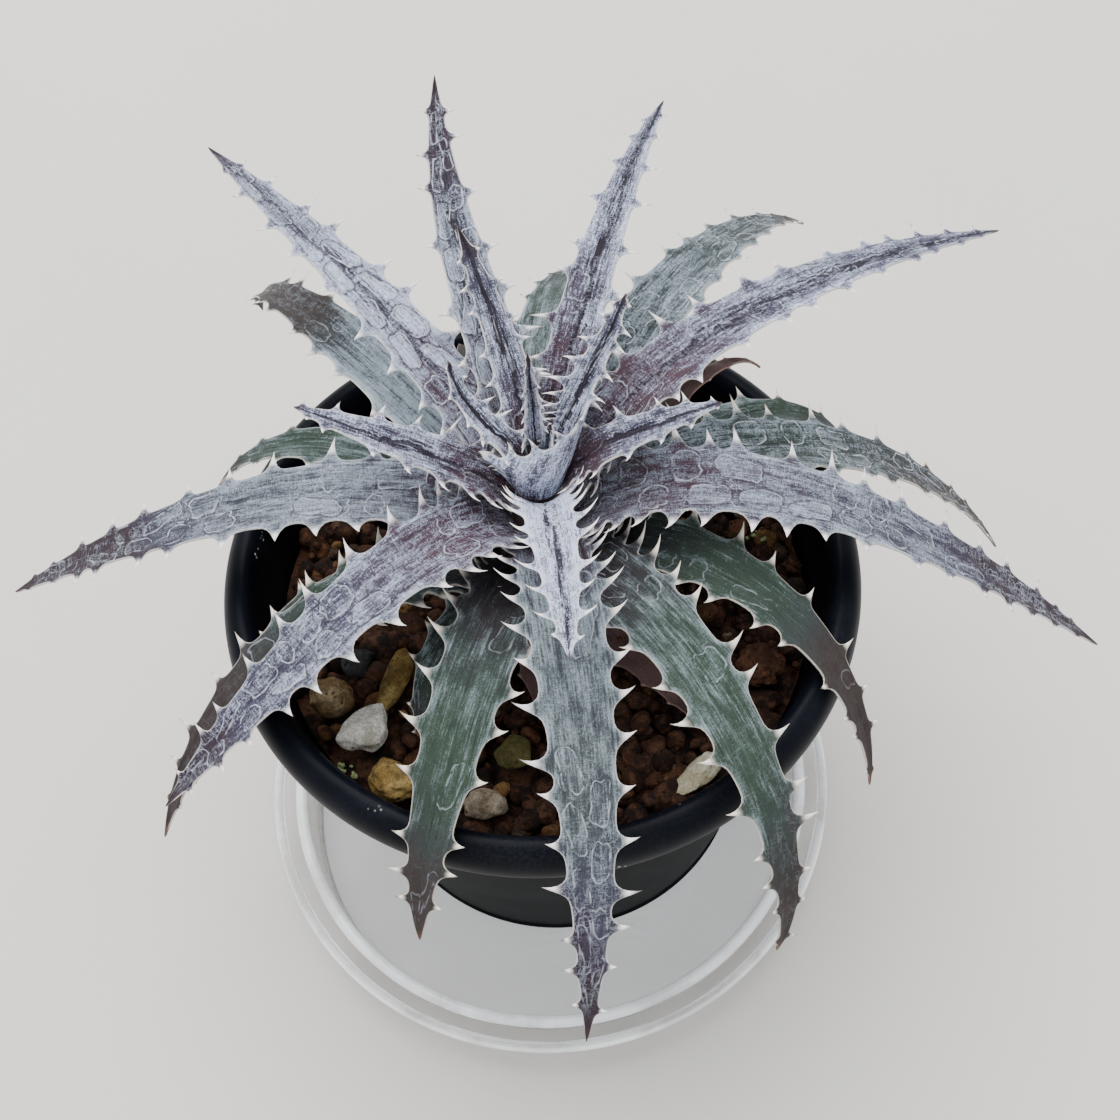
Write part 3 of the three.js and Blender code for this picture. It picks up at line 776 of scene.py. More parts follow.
# ---------------------------------------------------------------------------------------------
# Stem
# The short woody stem, wrapped in the scars and dry bases of leaves that have gone. It is
# rooted in the grit and carries every leaf.
# ---------------------------------------------------------------------------------------------

BASE = {"radius": 1.75, "radius_step": 0.28, "height": 119.25, "height_step": 1.25}
STEM_SCALES = 9  # scars round the stem
STEM_SCALE_RELIEF = 0.25


def stem_radius(height):
    return BASE["radius"] + BASE["radius_step"] * (BASE["height"] - height) / BASE["height_step"]


def stem_material():
    material, w, shader = new_material("stem_bark", {"Roughness": 0.9})
    place = w.add("TexCoord").outputs["Object"]
    along = w.vector("MULTIPLY", place, (1.0, 1.0, 0.35))
    fibres = w.noise(along, 900, 4, 0.65)
    colour = w.mix(fibres, paint("2c1d1f"), paint("6d5a5c"))
    w.join(colour, shader.inputs["Base Color"])
    raise_bumps(w, shader, fibres, 0.4)
    return material


def stem_mesh():
    low, high = box_of("stem")
    outline = [(0, low[2])]
    for z in np.linspace(low[2], high[2] - 3.5, 90):
        outline.append((min(stem_radius(z), 9 + (z - low[2]) * 0.16), z))
    outline += [(0.6, high[2] - 0.6), (0, high[2])]
    points, faces = turned(outline, 96)
    angle = np.arctan2(points[:, 1], points[:, 0])
    ring = points[:, 2] / BASE["height_step"]
    scale = np.abs(np.sin(STEM_SCALES * angle / 2 + ring * 1.2)) * np.abs(np.sin(ring * 0.8))
    radius = np.maximum(np.hypot(points[:, 0], points[:, 1]), 1e-6)
    points[:, :2] *= (1 - STEM_SCALE_RELIEF * scale / np.maximum(radius, 1))[:, None]
    return points + (*STEM_AXIS, 0), faces


stem_points, stem_faces = stem_mesh()
add_piece("leaf_scarred_stem", stem_points, stem_faces, stem_material(), ["stem"])


# ---------------------------------------------------------------------------------------------
# Leaves
# Stiff, succulent, channelled blades, each grown in one piece with the hooked spines along its
# horny margins. A coat of white scales covers them, and while they lay packed in the bud, the
# spines of their neighbours pressed rows of rounded prints into them. Each clasps the stem.
# ---------------------------------------------------------------------------------------------

GAP = 0.3  # between the stem and the root end of each leaf
LEAF = {
    "pull": 0.36,  # length of each Bezier handle, as a share of the root-to-tip chord
    "girth": 3.7,  # radius of a sheath, and the tightest curl of any base round the stem
    "flare": 0.03,  # how far a sheath's rim leans out
    "base_angle": 0.65,  # half the angle round the stem that a base may take, in radians
    "swell": 0.15,  # share of the length over which the channel and the keel grow
    "taper": (2.0, 0.95),  # powers that round the outline near the root and near the tip
    "tip_half": 0.3,  # half the width of the tip
    "channel": 0.2,  # rise of the margins over the midrib, as a share of half the width
    "keel": 0.24,  # depth of the rounded underside, as a share of half the width
    "thickness": (0.8, 0.45),  # of the margins, at the root and at the tip
    "sheath": (0.2, 0.5),  # shares of the length between which a sheath opens into a blade
}

# heading, sweep, launch, reach, tip, arrive and half are the part's own sizes of each leaf.
# Then come the pitch and the length of its spines.
LEAVES = [
    (34, 0, 84, 3.4, 127, 78, 1.5, 2.5, 0.9),
    (94, 0, 82, 3, 145, 76, 1.7, 4.0, 1.2),
    (154, -17, 72, 19, 132, 57, 2.2, 5.0, 2.6),
    (103, 4, 59, 38, 140, 50, 3.0, 6.0, 3.4),
    (49, 2, 76, 27, 137, 50, 2.8, 4.5, 4.4),
    (8, -2, 51, 32, 128, 23, 3.6, 6.0, 3.6),
    (276, -2, 60, 45, 130, 10, 4.0, 5.2, 4.4),
    (108, -7, 60, 75, 141, 29, 4.6, 10.0, 4.2),
    (174, -4, 44, 41, 130, 18, 4.2, 6.5, 4.2),
    (70, -1, 58, 80, 130, -11, 4.0, 8.4, 4.4),
    (130, -1, 44, 95, 127, -4, 4.8, 9.4, 4.6),
    (34, -3, 63, 110, 107, -20, 5.0, 8.6, 4.6),
    (214, -1, 55, 83, 86, -40, 6.0, 8.2, 5.0),
    (355, -2, 49, 110, 61, -42, 6.2, 8.6, 4.8),
    (276, -5, 55, 91, 86, -46, 6.2, 7.2, 5.2),
    (178, -1, 47, 105, 79, -37, 6.2, 9.0, 4.6),
    (57, -4, 56, 101, 87, -49, 6.4, 8.0, 4.2),
    (306, -11, 45, 83, 76, -85, 5.8, 7.6, 5.0),
    (16, -8, 48, 96, 57, -63, 6.0, 7.6, 4.6),
    (134, -3, 43, 86, 89, -81, 6.2, 8.0, 4.0),
    (248, 2, 53, 75, 80, -69, 6.4, 8.0, 5.0),
    (203, 11, 48, 86, 79, -49, 5.8, 7.6, 4.2),
    (338, -19, 75, 73, 80, -63, 5.4, 7.6, 4.2),
    (89, -8, 40, 81, 78, -50, 6.0, 8.0, 3.4),
    (149, 14, 43, 66, 90, -60, 5.4, 7.4, 3.4),
    (32, -14, 45, 64, 88, -72, 5.2, 7.4, 3.4),
    (197, 3, 42, 56, 95, -43, 5.0, 7.0, 3.4),
    (108, 0, 30, 47, 98, -30, 5.0, 7.0, 3.2),
    (222, 13, 34, 43, 86, -30, 5.0, 7.0, 3.2),
]
DRY_LEAVES = [
    (47, -9, 34, 57, 96, -60, 1.8, 6.0, 0.8),
    (266, 4, -6, 33, 80.6, 0, 5.4, 7.0, 1.4),
    (314, -6, -4, 43, 80.6, 0, 5.2, 7.0, 1.6),
]
SHEATHING_LEAF = 4  # its base clasps the heart, this far round to the left and right:
SHEATH_REACH = (-214, 14)
YOUNG_LEAVES = 16

# A row for each leaf, and then for each withered one: where the purple of the root ends and the
# dark tip starts, as shares of the length; then how green the middle is, how thick the white
# coat, how bare the midrib's fold, and how many prints it has. The root zone is darker: partly
# its purple and thinner coat, partly painted shade near the heart.
LOOKS = [
    (0.0, 0.9, 0.0, 0.5, 1.0, 0.0),
    (0.0, 0.95, 0.0, 0.5, 1.0, 0.0),
    (0.2, 0.95, 0.1, 0.45, 1.0, 0.2),
    (0.2, 0.9, 0.1, 0.45, 1.0, 0.3),
    (0.0, 0.95, 0.1, 0.52, 1.0, 0.2),
    (0.3, 1.1, 0.0, 0.4, 0.9, 0.3),
    (0.0, 1.2, 0.0, 0.8, 0.7, 0.4),
    (0.22, 0.7, 0.3, 0.66, 1.0, 1.0),
    (0.3, 1.1, 0.0, 0.56, 0.9, 0.4),
    (0.28, 1.1, 0.0, 0.5, 1.0, 0.6),
    (0.25, 0.92, 0.1, 0.72, 0.6, 1.0),
    (0.28, 1.1, 0.0, 0.46, 0.9, 0.6),
    (0.28, 0.78, 0.15, 0.5, 0.1, 0.9),
    (0.22, 0.66, 0.35, 0.58, 0.1, 0.8),
    (0.08, 0.8, 0.75, 0.38, 0.0, 0.6),
    (0.1, 0.64, 0.55, 0.54, 0.0, 0.8),
    (0.15, 0.84, 0.35, 0.48, 0.0, 0.7),
    (0.15, 0.8, 0.9, 0.25, 0.0, 0.4),
    (0.1, 0.66, 0.45, 0.46, 0.0, 0.8),
    (0.0, 0.57, 0.5, 0.9, 0.0, 0.5),
    (0.24, 0.8, 0.9, 0.24, 0.0, 0.3),
    (0.1, 0.6, 0.7, 0.2, 0.0, 0.35),
    (0.1, 0.68, 0.7, 0.12, 0.0, 0.3),
    (0.1, 0.9, 0.6, 0.4, 0.0, 0.3),
    (0.1, 0.9, 0.8, 0.3, 0.0, 0.3),
    (0.1, 0.9, 0.9, 0.3, 0.0, 0.3),
    (0.1, 0.9, 0.8, 0.25, 0.0, 0.3),
    (0.1, 0.9, 0.7, 0.3, 0.0, 0.3),
    (0.1, 0.9, 0.7, 0.25, 0.0, 0.3),
    (0.0, 0.5, 0.0, 0.3, 0.0, 0.0),
    (0.0, 0.8, 0.0, 0.05, 0.0, 0.0),
    (0.0, 0.8, 0.0, 0.1, 0.0, 0.0),
]

# One spine and the scallops beside it: rows along the margin, from the middle of one scallop
# (-1) over the spine (0) to the middle of the next (1), and columns out along the spine.
SPINE_ROWS = [-1, -0.7, -0.47, -0.3, -0.18, -0.09, -0.035, 0, 0.035, 0.09, 0.18, 0.3, 0.47, 0.7]
SPINE_COLUMNS = [0.2, 0.4, 0.6, 0.8, 1.0]
END_ROWS = 8  # rows of points before the first spine and after the last
SPINE_FLANK = 0.15  # how slowly a spine narrows from its foot, for each mm of half the leaf's width
SPINE_HOOK = 0.28  # how far its point leans back to the root, as a share of its length
SPINE_LIFT = 0.45  # how far it leans off the upper face
SHEATH_LIFT = -0.15  # the spines of the clasping sheath stand away from the heart
SPINE_SHRINK = 0.3  # how much shorter the spines are at the tip
RIM = 0.35  # width of the rounded margin outside the blade's outline
BLADE_COLUMNS = 11  # points across a blade, and across the wider sheath
SHEATH_COLUMNS = 31
TOOTHED = (0.06, 0.93)  # shares of the length between which the margins have spines


def eased(value, low, high):
    t = np.clip((value - low) / (high - low), 0, 1)
    return t * t * (3 - 2 * t)


class Leaf:
    """The form of one leaf. u is the share of the midrib's length, x the place across the blade
    and y the height off the midrib."""

    def __init__(self, order, sizes, withered=False):
        (self.heading, self.sweep, self.launch, self.reach, self.tip, self.arrive, self.half,
         self.pitch, self.spine) = sizes
        self.order = order
        self.withered = withered
        self.clasp = SHEATH_REACH if order == SHEATHING_LEAF else None
        self.trace_midrib()

    def trace_midrib(self):
        height = BASE["height"] - BASE["height_step"] * self.order
        seat = stem_radius(height) + GAP
        angle = min(self.half / seat, LEAF["base_angle"])
        root = np.array([seat / math.cos(angle / 2), height])
        tip = np.array([self.reach, self.tip])
        handle = LEAF["pull"] * np.linalg.norm(tip - root)
        launch, arrive = math.radians(self.launch), math.radians(self.arrive)
        rise = root + handle * np.array([math.cos(launch), math.sin(launch)])
        fall = tip - handle * np.array([math.cos(arrive), math.sin(arrive)])
        t = np.linspace(0, 1, 801)[:, None]
        line = (1 - t) ** 3 * root + 3 * (1 - t) ** 2 * t * rise + 3 * (1 - t) * t**2 * fall + t**3 * tip
        steps = np.linalg.norm(np.diff(line, axis=0), axis=1)
        self.length = steps.sum()
        self.shares = np.concatenate([[0], np.cumsum(steps)]) / self.length
        self.line = line
        slope = np.gradient(line, axis=0)
        self.slope = slope / np.linalg.norm(slope, axis=1)[:, None]

    def midrib(self, u):
        """Distance from the stem's axis, height, and the direction in that plane."""
        columns = (self.line[:, 0], self.line[:, 1], self.slope[:, 0], self.slope[:, 1])
        return [np.interp(u, self.shares, column) for column in columns]

    def half_width(self, u):
        inner, outer = LEAF["taper"]
        u = np.clip(u, 0, 1)
        end = LEAF["tip_half"] * (1 - u**6)
        blade = self.half * (1 - u**inner) ** outer + end
        return np.minimum(blade, LEAF["base_angle"] * self.midrib(u)[0] + LEAF["tip_half"])

    def margin(self, u, side):
        half = self.half_width(u)
        if not self.clasp:
            return side * half
        wing = math.radians(self.clasp[0 if side < 0 else 1]) * LEAF["girth"]
        blade = eased(u, *LEAF["sheath"])
        return wing * (1 - blade) + side * half * blade

    def margin_line(self, s, side):
        u = s / self.length
        return self.point(u, self.margin(u, side), np.zeros(len(u)))

    def margin_frame(self, s, side):
        """Directions along the blade, out across its margin, and off its upper face."""
        u = s / self.length
        x, y, step = self.margin(u, side), np.zeros(len(u)), 0.02
        here = self.point(u, x, y)
        along = unit(self.point(u + step / self.length, x, y) - self.point(u - step / self.length, x, y))
        out = unit(here - self.point(u, x - side * step, y))
        up = unit(np.cross(along, out)) * side
        return along, out, up

    def faces_at(self, u, t):
        """Heights of the upper and lower face, at t from the midrib (0) to a margin (1)."""
        grown = self.half_width(u) * np.minimum(u / LEAF["swell"], 1)
        upper = LEAF["channel"] * grown * t**1.3
        thick = LEAF["thickness"][0] * (1 - u) + LEAF["thickness"][1] * u
        keel = 0.04 if self.withered else LEAF["keel"]
        return upper, upper - thick - keel * grown * (1 - t**1.6)

    def point(self, u, x, y):
        radius, height, along_r, along_z = self.midrib(np.clip(u, 0, 1))
        curl = LEAF["girth"] if self.clasp else radius
        turn = np.radians(self.heading + self.sweep * u * u)
        angle = turn + x / np.maximum(curl, LEAF["girth"])
        flare = 0
        if self.clasp:
            flare = LEAF["flare"] * (x / LEAF["girth"]) ** 4 * np.minimum(u / LEAF["sheath"][0], 1)
        reach = curl + flare - along_z * y
        return np.stack([
            STEM_AXIS[0] + (radius - curl) * np.cos(turn) + reach * np.cos(angle),
            STEM_AXIS[1] + (radius - curl) * np.sin(turn) + reach * np.sin(angle),
            height + along_r * y,
        ], axis=-1)


def spine_stations(leaf, draw):
    """Places along the midrib, in millimetres, of the spines of both margins and of the
    scallops' middles between them, which both margins share at the two ends."""
    fine = np.linspace(0, leaf.length, 400)
    line = leaf.margin_line(fine, -1)
    run = np.concatenate([[0], np.cumsum(np.linalg.norm(np.diff(line, axis=0), axis=1))])
    even = [np.interp(TOOTHED[0] * leaf.length, fine, run)]
    end = np.interp(TOOTHED[1] * leaf.length, fine, run)
    # The spines stand closer together near the root and near the tip.
    while even[-1] < end:
        u = np.interp(even[-1], run, fine) / leaf.length
        tight = 0.38 + 0.7 * eased(u, 0.0, 0.4) - 0.4 * eased(u, 0.55, 1.0)
        even.append(even[-1] + leaf.pitch * tight)
    even = np.interp(even, run, fine)
    middles = (even[:-1] + even[1:]) / 2
    gaps = np.diff(even)
    sides = []
    for _ in range(2):
        spines = middles + draw.uniform(-0.22, 0.22, len(middles)) * gaps
        scallops = np.concatenate([[even[0]], (spines[:-1] + spines[1:]) / 2, [even[-1]]])
        sides.append((spines, scallops))
    return sides


def margin_rows(leaf, side, spines, scallops, draw):
    """For one margin: each row's place along it, its reach out as a share of the spine, and
    the spine's length there."""
    places = []
    shares = []
    lengths = []
    for spine, before, after in zip(spines, scallops, scallops[1:]):
        u = spine / leaf.length
        flank = max(SPINE_FLANK * (0.4 * leaf.half + 0.6 * leaf.half_width(u)), 0.45)
        span = np.linalg.norm(np.diff(leaf.margin_line(np.array([before, after]), side), axis=0))
        flank = min(flank, span / 5)
        length = leaf.spine * (1 - SPINE_SHRINK * u - 0.4 * eased(u, 0.72, 1)) * draw.uniform(0.7, 1.18)
        length = min(length, 2.2 * span)
        for row in SPINE_ROWS:
            gap = spine - before if row < 0 else after - spine
            steep = gap / (after - before) * span / flank
            places.append(spine + row * gap)
            shares.append((math.cosh(steep * (1 - abs(row))) - 1) / (math.cosh(steep) - 1))
            lengths.append(length)
    places.append(scallops[-1])
    shares.append(0)
    lengths.append(0)
    root = np.linspace(0, scallops[0], END_ROWS + 1)[:-1]
    tip = np.linspace(scallops[-1], leaf.length * 0.995, END_ROWS + 1)[1:]
    quiet = np.zeros(END_ROWS)
    return (
        np.concatenate([root, places, tip]),
        np.concatenate([quiet, shares, quiet]),
        np.concatenate([quiet, lengths, quiet]),
    )


def leaf_mesh(leaf, draw):
    """Points, faces and the values that the coat of scales is painted by."""
    columns = np.linspace(-1, 1, SHEATH_COLUMNS if leaf.clasp else BLADE_COLUMNS)
    (spines_l, scallops_l), (spines_r, scallops_r) = spine_stations(leaf, draw)
    sides = {
        -1: margin_rows(leaf, -1, spines_l, scallops_l, draw),
        1: margin_rows(leaf, 1, spines_r, scallops_r, draw),
    }
    count = len(sides[1][0])
    phase = draw.uniform(0, 6.28, 6)

    def ripple(s, x):
        """The slow unevenness of a grown surface."""
        return (
            0.10 * np.sin(s * 0.55 + x * 0.35 + phase[0])
            + 0.07 * np.sin(s * 0.9 - x * 0.8 + phase[1])
            + 0.05 * np.sin(s * 1.7 + x * 0.5 + phase[2])
        ) * (3.5 if leaf.withered else 1)

    upper, lower = [], []  # columns of (points, blade, place) from the left margin to the right

    def keep(into, s, x, edge, t, q, points):
        u = s / leaf.length
        into.append((
            points,
            np.stack([s, x, edge], -1),
            np.stack([np.clip(u, 0, 1), t, q], -1),
            leaf.half_width(u),
        ))

    def keep_margin(side):
        """The rounded edge and the spines, laid out from the margin's own line."""
        s, share, length = sides[side]
        u = s / leaf.length
        edge_x = leaf.margin(u, side)
        along, out, up = leaf.margin_frame(s, side)
        run = unit(np.gradient(leaf.margin_line(s, side), s, axis=0))
        away = unit(unit(np.cross(up, run)) * side + 0.001 * out)
        over, under = leaf.faces_at(u, np.ones(count))
        middle, thick = (over + under) / 2, (over - under) / 2
        start = leaf.point(u, edge_x, middle)
        order = SPINE_COLUMNS if side > 0 else SPINE_COLUMNS[::-1]
        for column in order:
            q = column * share
            reach = column * (RIM * np.minimum(1, leaf.half_width(u)) + length * share)
            back = SPINE_HOOK * length * q**2.2
            body = thick * math.sqrt(1 - column**2) * (1 - 0.5 * q)
            lift = (SHEATH_LIFT if leaf.clasp else SPINE_LIFT) * length * q**2.2
            spot = start + away * reach[:, None] - along * back[:, None] + up * lift[:, None]
            edge = (RIM + length * share) * (1 - column)
            across = np.full(count, float(side))
            rise = up * body[:, None]
            keep(upper, s, edge_x + side * reach, edge, across, q, spot + rise)
            keep(lower, s, edge_x + side * reach, edge, across, q, spot - rise)

    keep_margin(-1)
    s_left, share_left, length_left = sides[-1]
    s_right, share_right, length_right = sides[1]
    for t in columns:
        mixed = (t + 1) / 2
        s = s_left * (1 - mixed) + s_right * mixed
        u = s / leaf.length
        x_left, x_right = leaf.margin(u, -1), leaf.margin(u, 1)
        x = -t * x_left if t < 0 else t * x_right
        over, under = leaf.faces_at(u, np.full(count, abs(t)))
        rise = ripple(s, x) * (1 - abs(t) ** 3) * np.minimum(u / 0.1, 1) * np.minimum((1 - u) / 0.1, 1)
        if t < 0:
            edge = x - x_left + RIM + length_left * share_left
        else:
            edge = x_right - x + RIM + length_right * share_right
        across = np.full(count, float(t))
        keep(upper, s, x, edge, across, np.zeros(count), leaf.point(u, x, over + rise))
        keep(lower, s, x, edge, across, np.zeros(count), leaf.point(u, x, under + rise * 0.5))
    keep_margin(1)

    # A ring of points goes over the upper face and back along the lower one.
    width = len(upper)
    ring = upper + lower[-2:0:-1]
    across = len(ring)
    stack = [np.stack([column[part] for column in ring], 1) for part in range(4)]
    points = stack[0].reshape(-1, 3)
    blade = stack[1].reshape(-1, 3)
    place = stack[2].reshape(-1, 3)
    half = stack[3].reshape(-1)
    over = np.tile([1.0] * width + [-1.0] * (across - width), count)

    faces = []
    k = np.arange(across)
    after = (k + 1) % across
    for i in range(count - 1):
        here, there = i * across, (i + 1) * across
        faces += np.stack([here + k, there + k, there + after, here + after], 1).tolist()
    for k in range(width - 1):
        faces.append(list(dict.fromkeys([k, k + 1, (-k - 1) % across, -k % across])))
    apex = len(points)
    end = leaf.point(np.array([1.0]), np.zeros(1), np.array([-0.15]))
    points = np.concatenate([points, end])
    blade = np.concatenate([blade, [[leaf.length, 0, 0]]])
    place = np.concatenate([place, [[1, 0, 0]]])
    half = np.append(half, 0.1)
    over = np.append(over, 1.0)
    last = (count - 1) * across
    for k in range(across):
        faces.append([last + (k + 1) % across, last + k, apex])

    seed = np.full(len(points), leaf.order + 1.0)
    root_end, tip_start, green, coat, fold, prints = LOOKS[leaf.order]
    values = {
        "blade": blade,
        "place": place,
        "kind": np.stack([seed, half, over], -1),
        "zones": np.tile((root_end, tip_start, green), (len(points), 1)),
        "coat": np.tile((coat, fold, prints), (len(points), 1)),
    }
    return points, faces, values


def prints_group():
    """Rows of rounded prints on both sides of the midrib: their raised outlines, their beds, and a painted
    shadow ring just outside each outline.
    """
    tree, w, given, made = new_group(
        "bud_prints",
        {"Along": "f", "Across": "f", "Half": "f", "Seed": "f", "Pitch": "f", "Share": "f"},
        {"Outline": "f", "Bed": "f", "ShadowRing": "f", "Draw": "f"},
    )
    side = w.calc("SIGN", given["Across"])
    key = w.total(given["Seed"], w.product(side, 0.37))
    crooked = w.xyz(w.product(given["Along"], 0.45), given["Across"], given["Seed"])
    wave = w.product(w.less(w.noise(crooked, 0.6, 1), 0.5), 2.4)
    shift = w.calc("FRACT", w.product(key, 7.31))
    order = w.total(w.calc("DIVIDE", w.total(given["Along"], wave), given["Pitch"]), shift)
    cell = w.calc("FLOOR", order)
    draw = w.add("TexWhiteNoise", None, {"Vector": w.xyz(cell, key, 0.0)}).outputs["Value"]
    local_s = w.product(w.less(w.calc("FRACT", order), 0.5), given["Pitch"])
    off = w.less(w.size(given["Across"]), w.product(given["Half"], 0.48))
    slant = w.product(local_s, w.less(draw, 0.4))
    local_x = w.total(off, w.product(wave, 0.5), w.product(slant, 0.5))
    half_s = w.product(given["Pitch"], w.ease(draw, 0, 1, 0.24, 0.45))
    half_x = w.product(given["Half"], w.ease(draw, 0, 1, 0.46, 0.28))
    corner = w.product(half_x, 0.8)
    q_s = w.total(w.less(w.size(local_s), half_s), corner)
    q_x = w.total(w.less(w.size(local_x), half_x), corner)
    outside = w.vector("LENGTH", w.xyz(w.calc("MAXIMUM", q_s, 0.0), w.calc("MAXIMUM", q_x, 0.0), 0.0))
    inside = w.calc("MINIMUM", w.calc("MAXIMUM", q_s, q_x), 0.0)
    distance = w.less(w.total(outside, inside), corner)
    near = w.ease(w.size(distance), 0.22, 0.05)
    broken = w.xyz(given["Along"], given["Across"], w.total(key, 5.0))
    worn = w.ease(w.noise(broken, 0.5, 3, 0.6), 0.38, 0.55)
    kept = w.calc("LESS_THAN", w.calc("FRACT", w.product(draw, 7.7)), given["Share"])
    w.join(w.product(near, worn, kept), made["Outline"])
    w.join(w.product(w.ease(distance, 0.0, -0.4), kept), made["Bed"])
    # A ring just outside the outline, where its painted shadow falls.
    w.join(w.product(w.ease(distance, 0.1, 0.3), w.ease(distance, 0.8, 0.35), kept), made["ShadowRing"])
    w.join(draw, made["Draw"])
    return tree


PRINTS = prints_group()


def leaf_skin_group():
    """The tissue, the white coat and the horny margins of a leaf."""
    tree, w, given, made = new_group(
        "leaf_skin",
        {"Root": "c", "Green": "c", "Pale": "c", "Tip": "c", "Bare": "c", "Coat": "c", "Horn": "c",
         "Point": "c"},
        {"Colour": "c", "Height": "f", "Roughness": "f"},
    )
    along, across, edge = w.parts(w.attribute("blade"))
    u, t, q = w.parts(w.attribute("place"))
    root_end, tip_start, green = w.parts(w.attribute("zones"))
    thick, fold, prints = w.parts(w.attribute("coat"))
    seed, half, over = w.parts(w.attribute("kind"))
    product, total = w.product, w.total
    layer = total(product(seed, 13.7), product(over, 3.3))
    upside = w.ease(over, 0.0, 0.5)

    def grain(stretch, fineness, detail=2.0, roughness=0.5, gain=1.0):
        """Noise about 0 in the leaf's own directions: features per mm along and across it."""
        place = w.xyz(product(along, stretch), product(across, fineness), layer)
        return product(w.less(w.noise(place, 1.0, detail, roughness), 0.5), gain)

    cloud = grain(0.05, 0.15)
    patch = grain(0.18, 0.5, 4.0, 0.6)
    streak = grain(0.1, 2.3, 3.0, 0.6)
    fibre = grain(1.0, 6.5, 3.0, 0.65)
    fleck = grain(4.5, 5.5, 2.0, 0.6)
    weft = grain(5.0, 0.8, 2.0, 0.6)
    scratch = grain(1.5, 0.3, 3.0, 0.6)
    far = total(u, product(cloud, 0.3), product(patch, 0.15))

    # Tissue: purple-brown at the root, green or grey in the middle, dark at the tip.
    near_tip = w.less(far, tip_start)
    near_root = w.less(far, root_end)
    leafy = product(green, w.ease(near_root, 0.0, 0.25), w.ease(near_tip, 0.02, -0.2))
    leafy = product(leafy, w.ease(patch, -0.2, 0.1, 0.5, 1.0))
    tissue = w.mix(leafy, given["Pale"], given["Green"])
    coating = w.mix(green, given["Coat"], paint("c2d4da"))
    tissue = w.mix(w.ease(near_root, 0.2, -0.1), tissue, given["Root"])
    tippy = w.ease(near_tip, -0.08, 0.08)
    tissue = w.mix(tippy, tissue, given["Tip"])
    tissue = w.mix(w.ease(streak, -0.06, -0.26, 0.0, 0.8), tissue, given["Bare"])

    # A fold opens along the midrib of the young leaves, bare and nearly black.
    jag = total(grain(0.8, 0.3, 3.0, 0.65, 0.6), grain(0.12, 0.1, 1.0, 0.5, 0.7))
    width = w.ease(u, 0.1, 0.6, 0.05, 0.2)
    crease = w.ease(w.less(w.size(total(t, jag)), width), 0.06, -0.04)
    islands = w.ease(grain(0.15, 1.6, 3.0, 0.6), -0.15, -0.02)
    wrinkle = w.size(w.less(w.size(total(t, product(jag, 0.8))), 0.34))
    wrinkle = product(w.ease(wrinkle, 0.07, 0.02), w.ease(grain(0.09, 0.4, 2.0), -0.02, 0.06))
    crease = product(w.calc("MAXIMUM", crease, product(wrinkle, 0.8)), fold, upside, islands)

    # The prints of the neighbours' spines.
    values = {"Along": along, "Across": across, "Half": half, "Seed": seed}
    old = place_group(w, PRINTS, values | {"Pitch": 9.4, "Share": product(prints, 0.72)})
    values |= {"Seed": total(seed, 0.61)}
    late = place_group(w, PRINTS, values | {"Pitch": 5.9, "Share": product(prints, 0.18)})
    clear = product(upside, w.ease(u, 0.97, 0.9))
    apart = w.less(1.0, w.calc("MAXIMUM", old["Bed"], old["ShadowRing"]))
    outline = product(w.calc("MAXIMUM", old["Outline"], product(late["Outline"], apart)), clear)
    outline = product(outline, w.ease(prints, 0.2, 1.0, 0.25, 1.0), w.ease(near_tip, -0.1, 0.15, 1.0, 0.5))
    bed = product(old["Bed"], clear)
    filled = product(bed, w.ease(old["Draw"], 0.3, 0.6, -0.15, 0.2), prints)
    # Painted shadow of the raised outlines: the coat thins in the ring outside them.
    painted_shadow_ring = product(old["ShadowRing"], clear, prints)
    rays = w.calc("MINIMUM", w.size(scratch), w.size(grain(0.35, 0.9, 3.0, 0.6)))
    rays = product(w.ease(rays, 0.03, 0.006), w.ease(patch, -0.12, 0.08), clear, w.ease(prints, 0.2, 0.9))

    # The coat: short white fibres, thicker in patches and streaks, and near the margins.
    cover = total(
        thick,
        product(patch, 1.15),
        product(streak, 1.3),
        # Thinner near the root: partly the purple base showing, partly painted shade near the heart.
        product(w.ease(near_root, 0.2, -0.1), -0.32),
        w.ease(edge, 1.8, 0.2, 0.0, 0.26),
        filled,
        product(painted_shadow_ring, -0.4),
        product(tippy, -0.75),
        w.ease(near_tip, -0.6, 0.05, 0.0, -0.3),
        product(crease, -0.8),
        product(w.less(1.0, upside), 0.1),
    )
    weave = total(product(fibre, 2.5), product(fleck, 2.0), product(weft, 1.4))
    weave = product(weave, w.ease(green, 0.1, 0.9, 1.0, 0.5))
    sparse, dense = w.ease(green, 0.1, 0.9, 0.28, 0.0), w.ease(green, 0.1, 0.9, 0.92, 1.25)
    scales = w.ease(total(weave, cover), sparse, dense)
    haze = w.ease(cover, 0.1, 1.3, 0.0, w.ease(green, 0.1, 0.9, 0.4, 0.6))
    colour = w.mix(crease, tissue, given["Bare"])
    colour = w.mix(haze, colour, coating)
    colour = w.mix(product(scales, w.ease(green, 0.0, 1.0, 0.95, 0.8)), colour, coating)
    colour = w.mix(product(rays, 0.5), colour, coating)
    colour = w.mix(product(outline, 0.9), colour, paint("ecf2ff"))

    # The horny margin and the spines that stand out of it, brown-tipped towards the leaf's end.
    rim = w.ease(edge, 0.34, 0.1)
    spine = w.ease(q, 0.22, 0.62)
    horn = w.calc("MAXIMUM", product(rim, w.ease(green, 0.2, 0.8, 0.75, 0.6)), spine)
    colour = w.mix(horn, colour, given["Horn"])
    burnt = w.ease(total(q, product(u, 0.4), product(cloud, 1.6)), 1.02, 1.35)
    burnt = w.calc("MAXIMUM", product(burnt, w.ease(q, 0.5, 0.8)), w.ease(u, 0.962, 0.985))
    colour = w.mix(product(burnt, 0.85), colour, given["Point"])
    w.join(colour, made["Colour"])

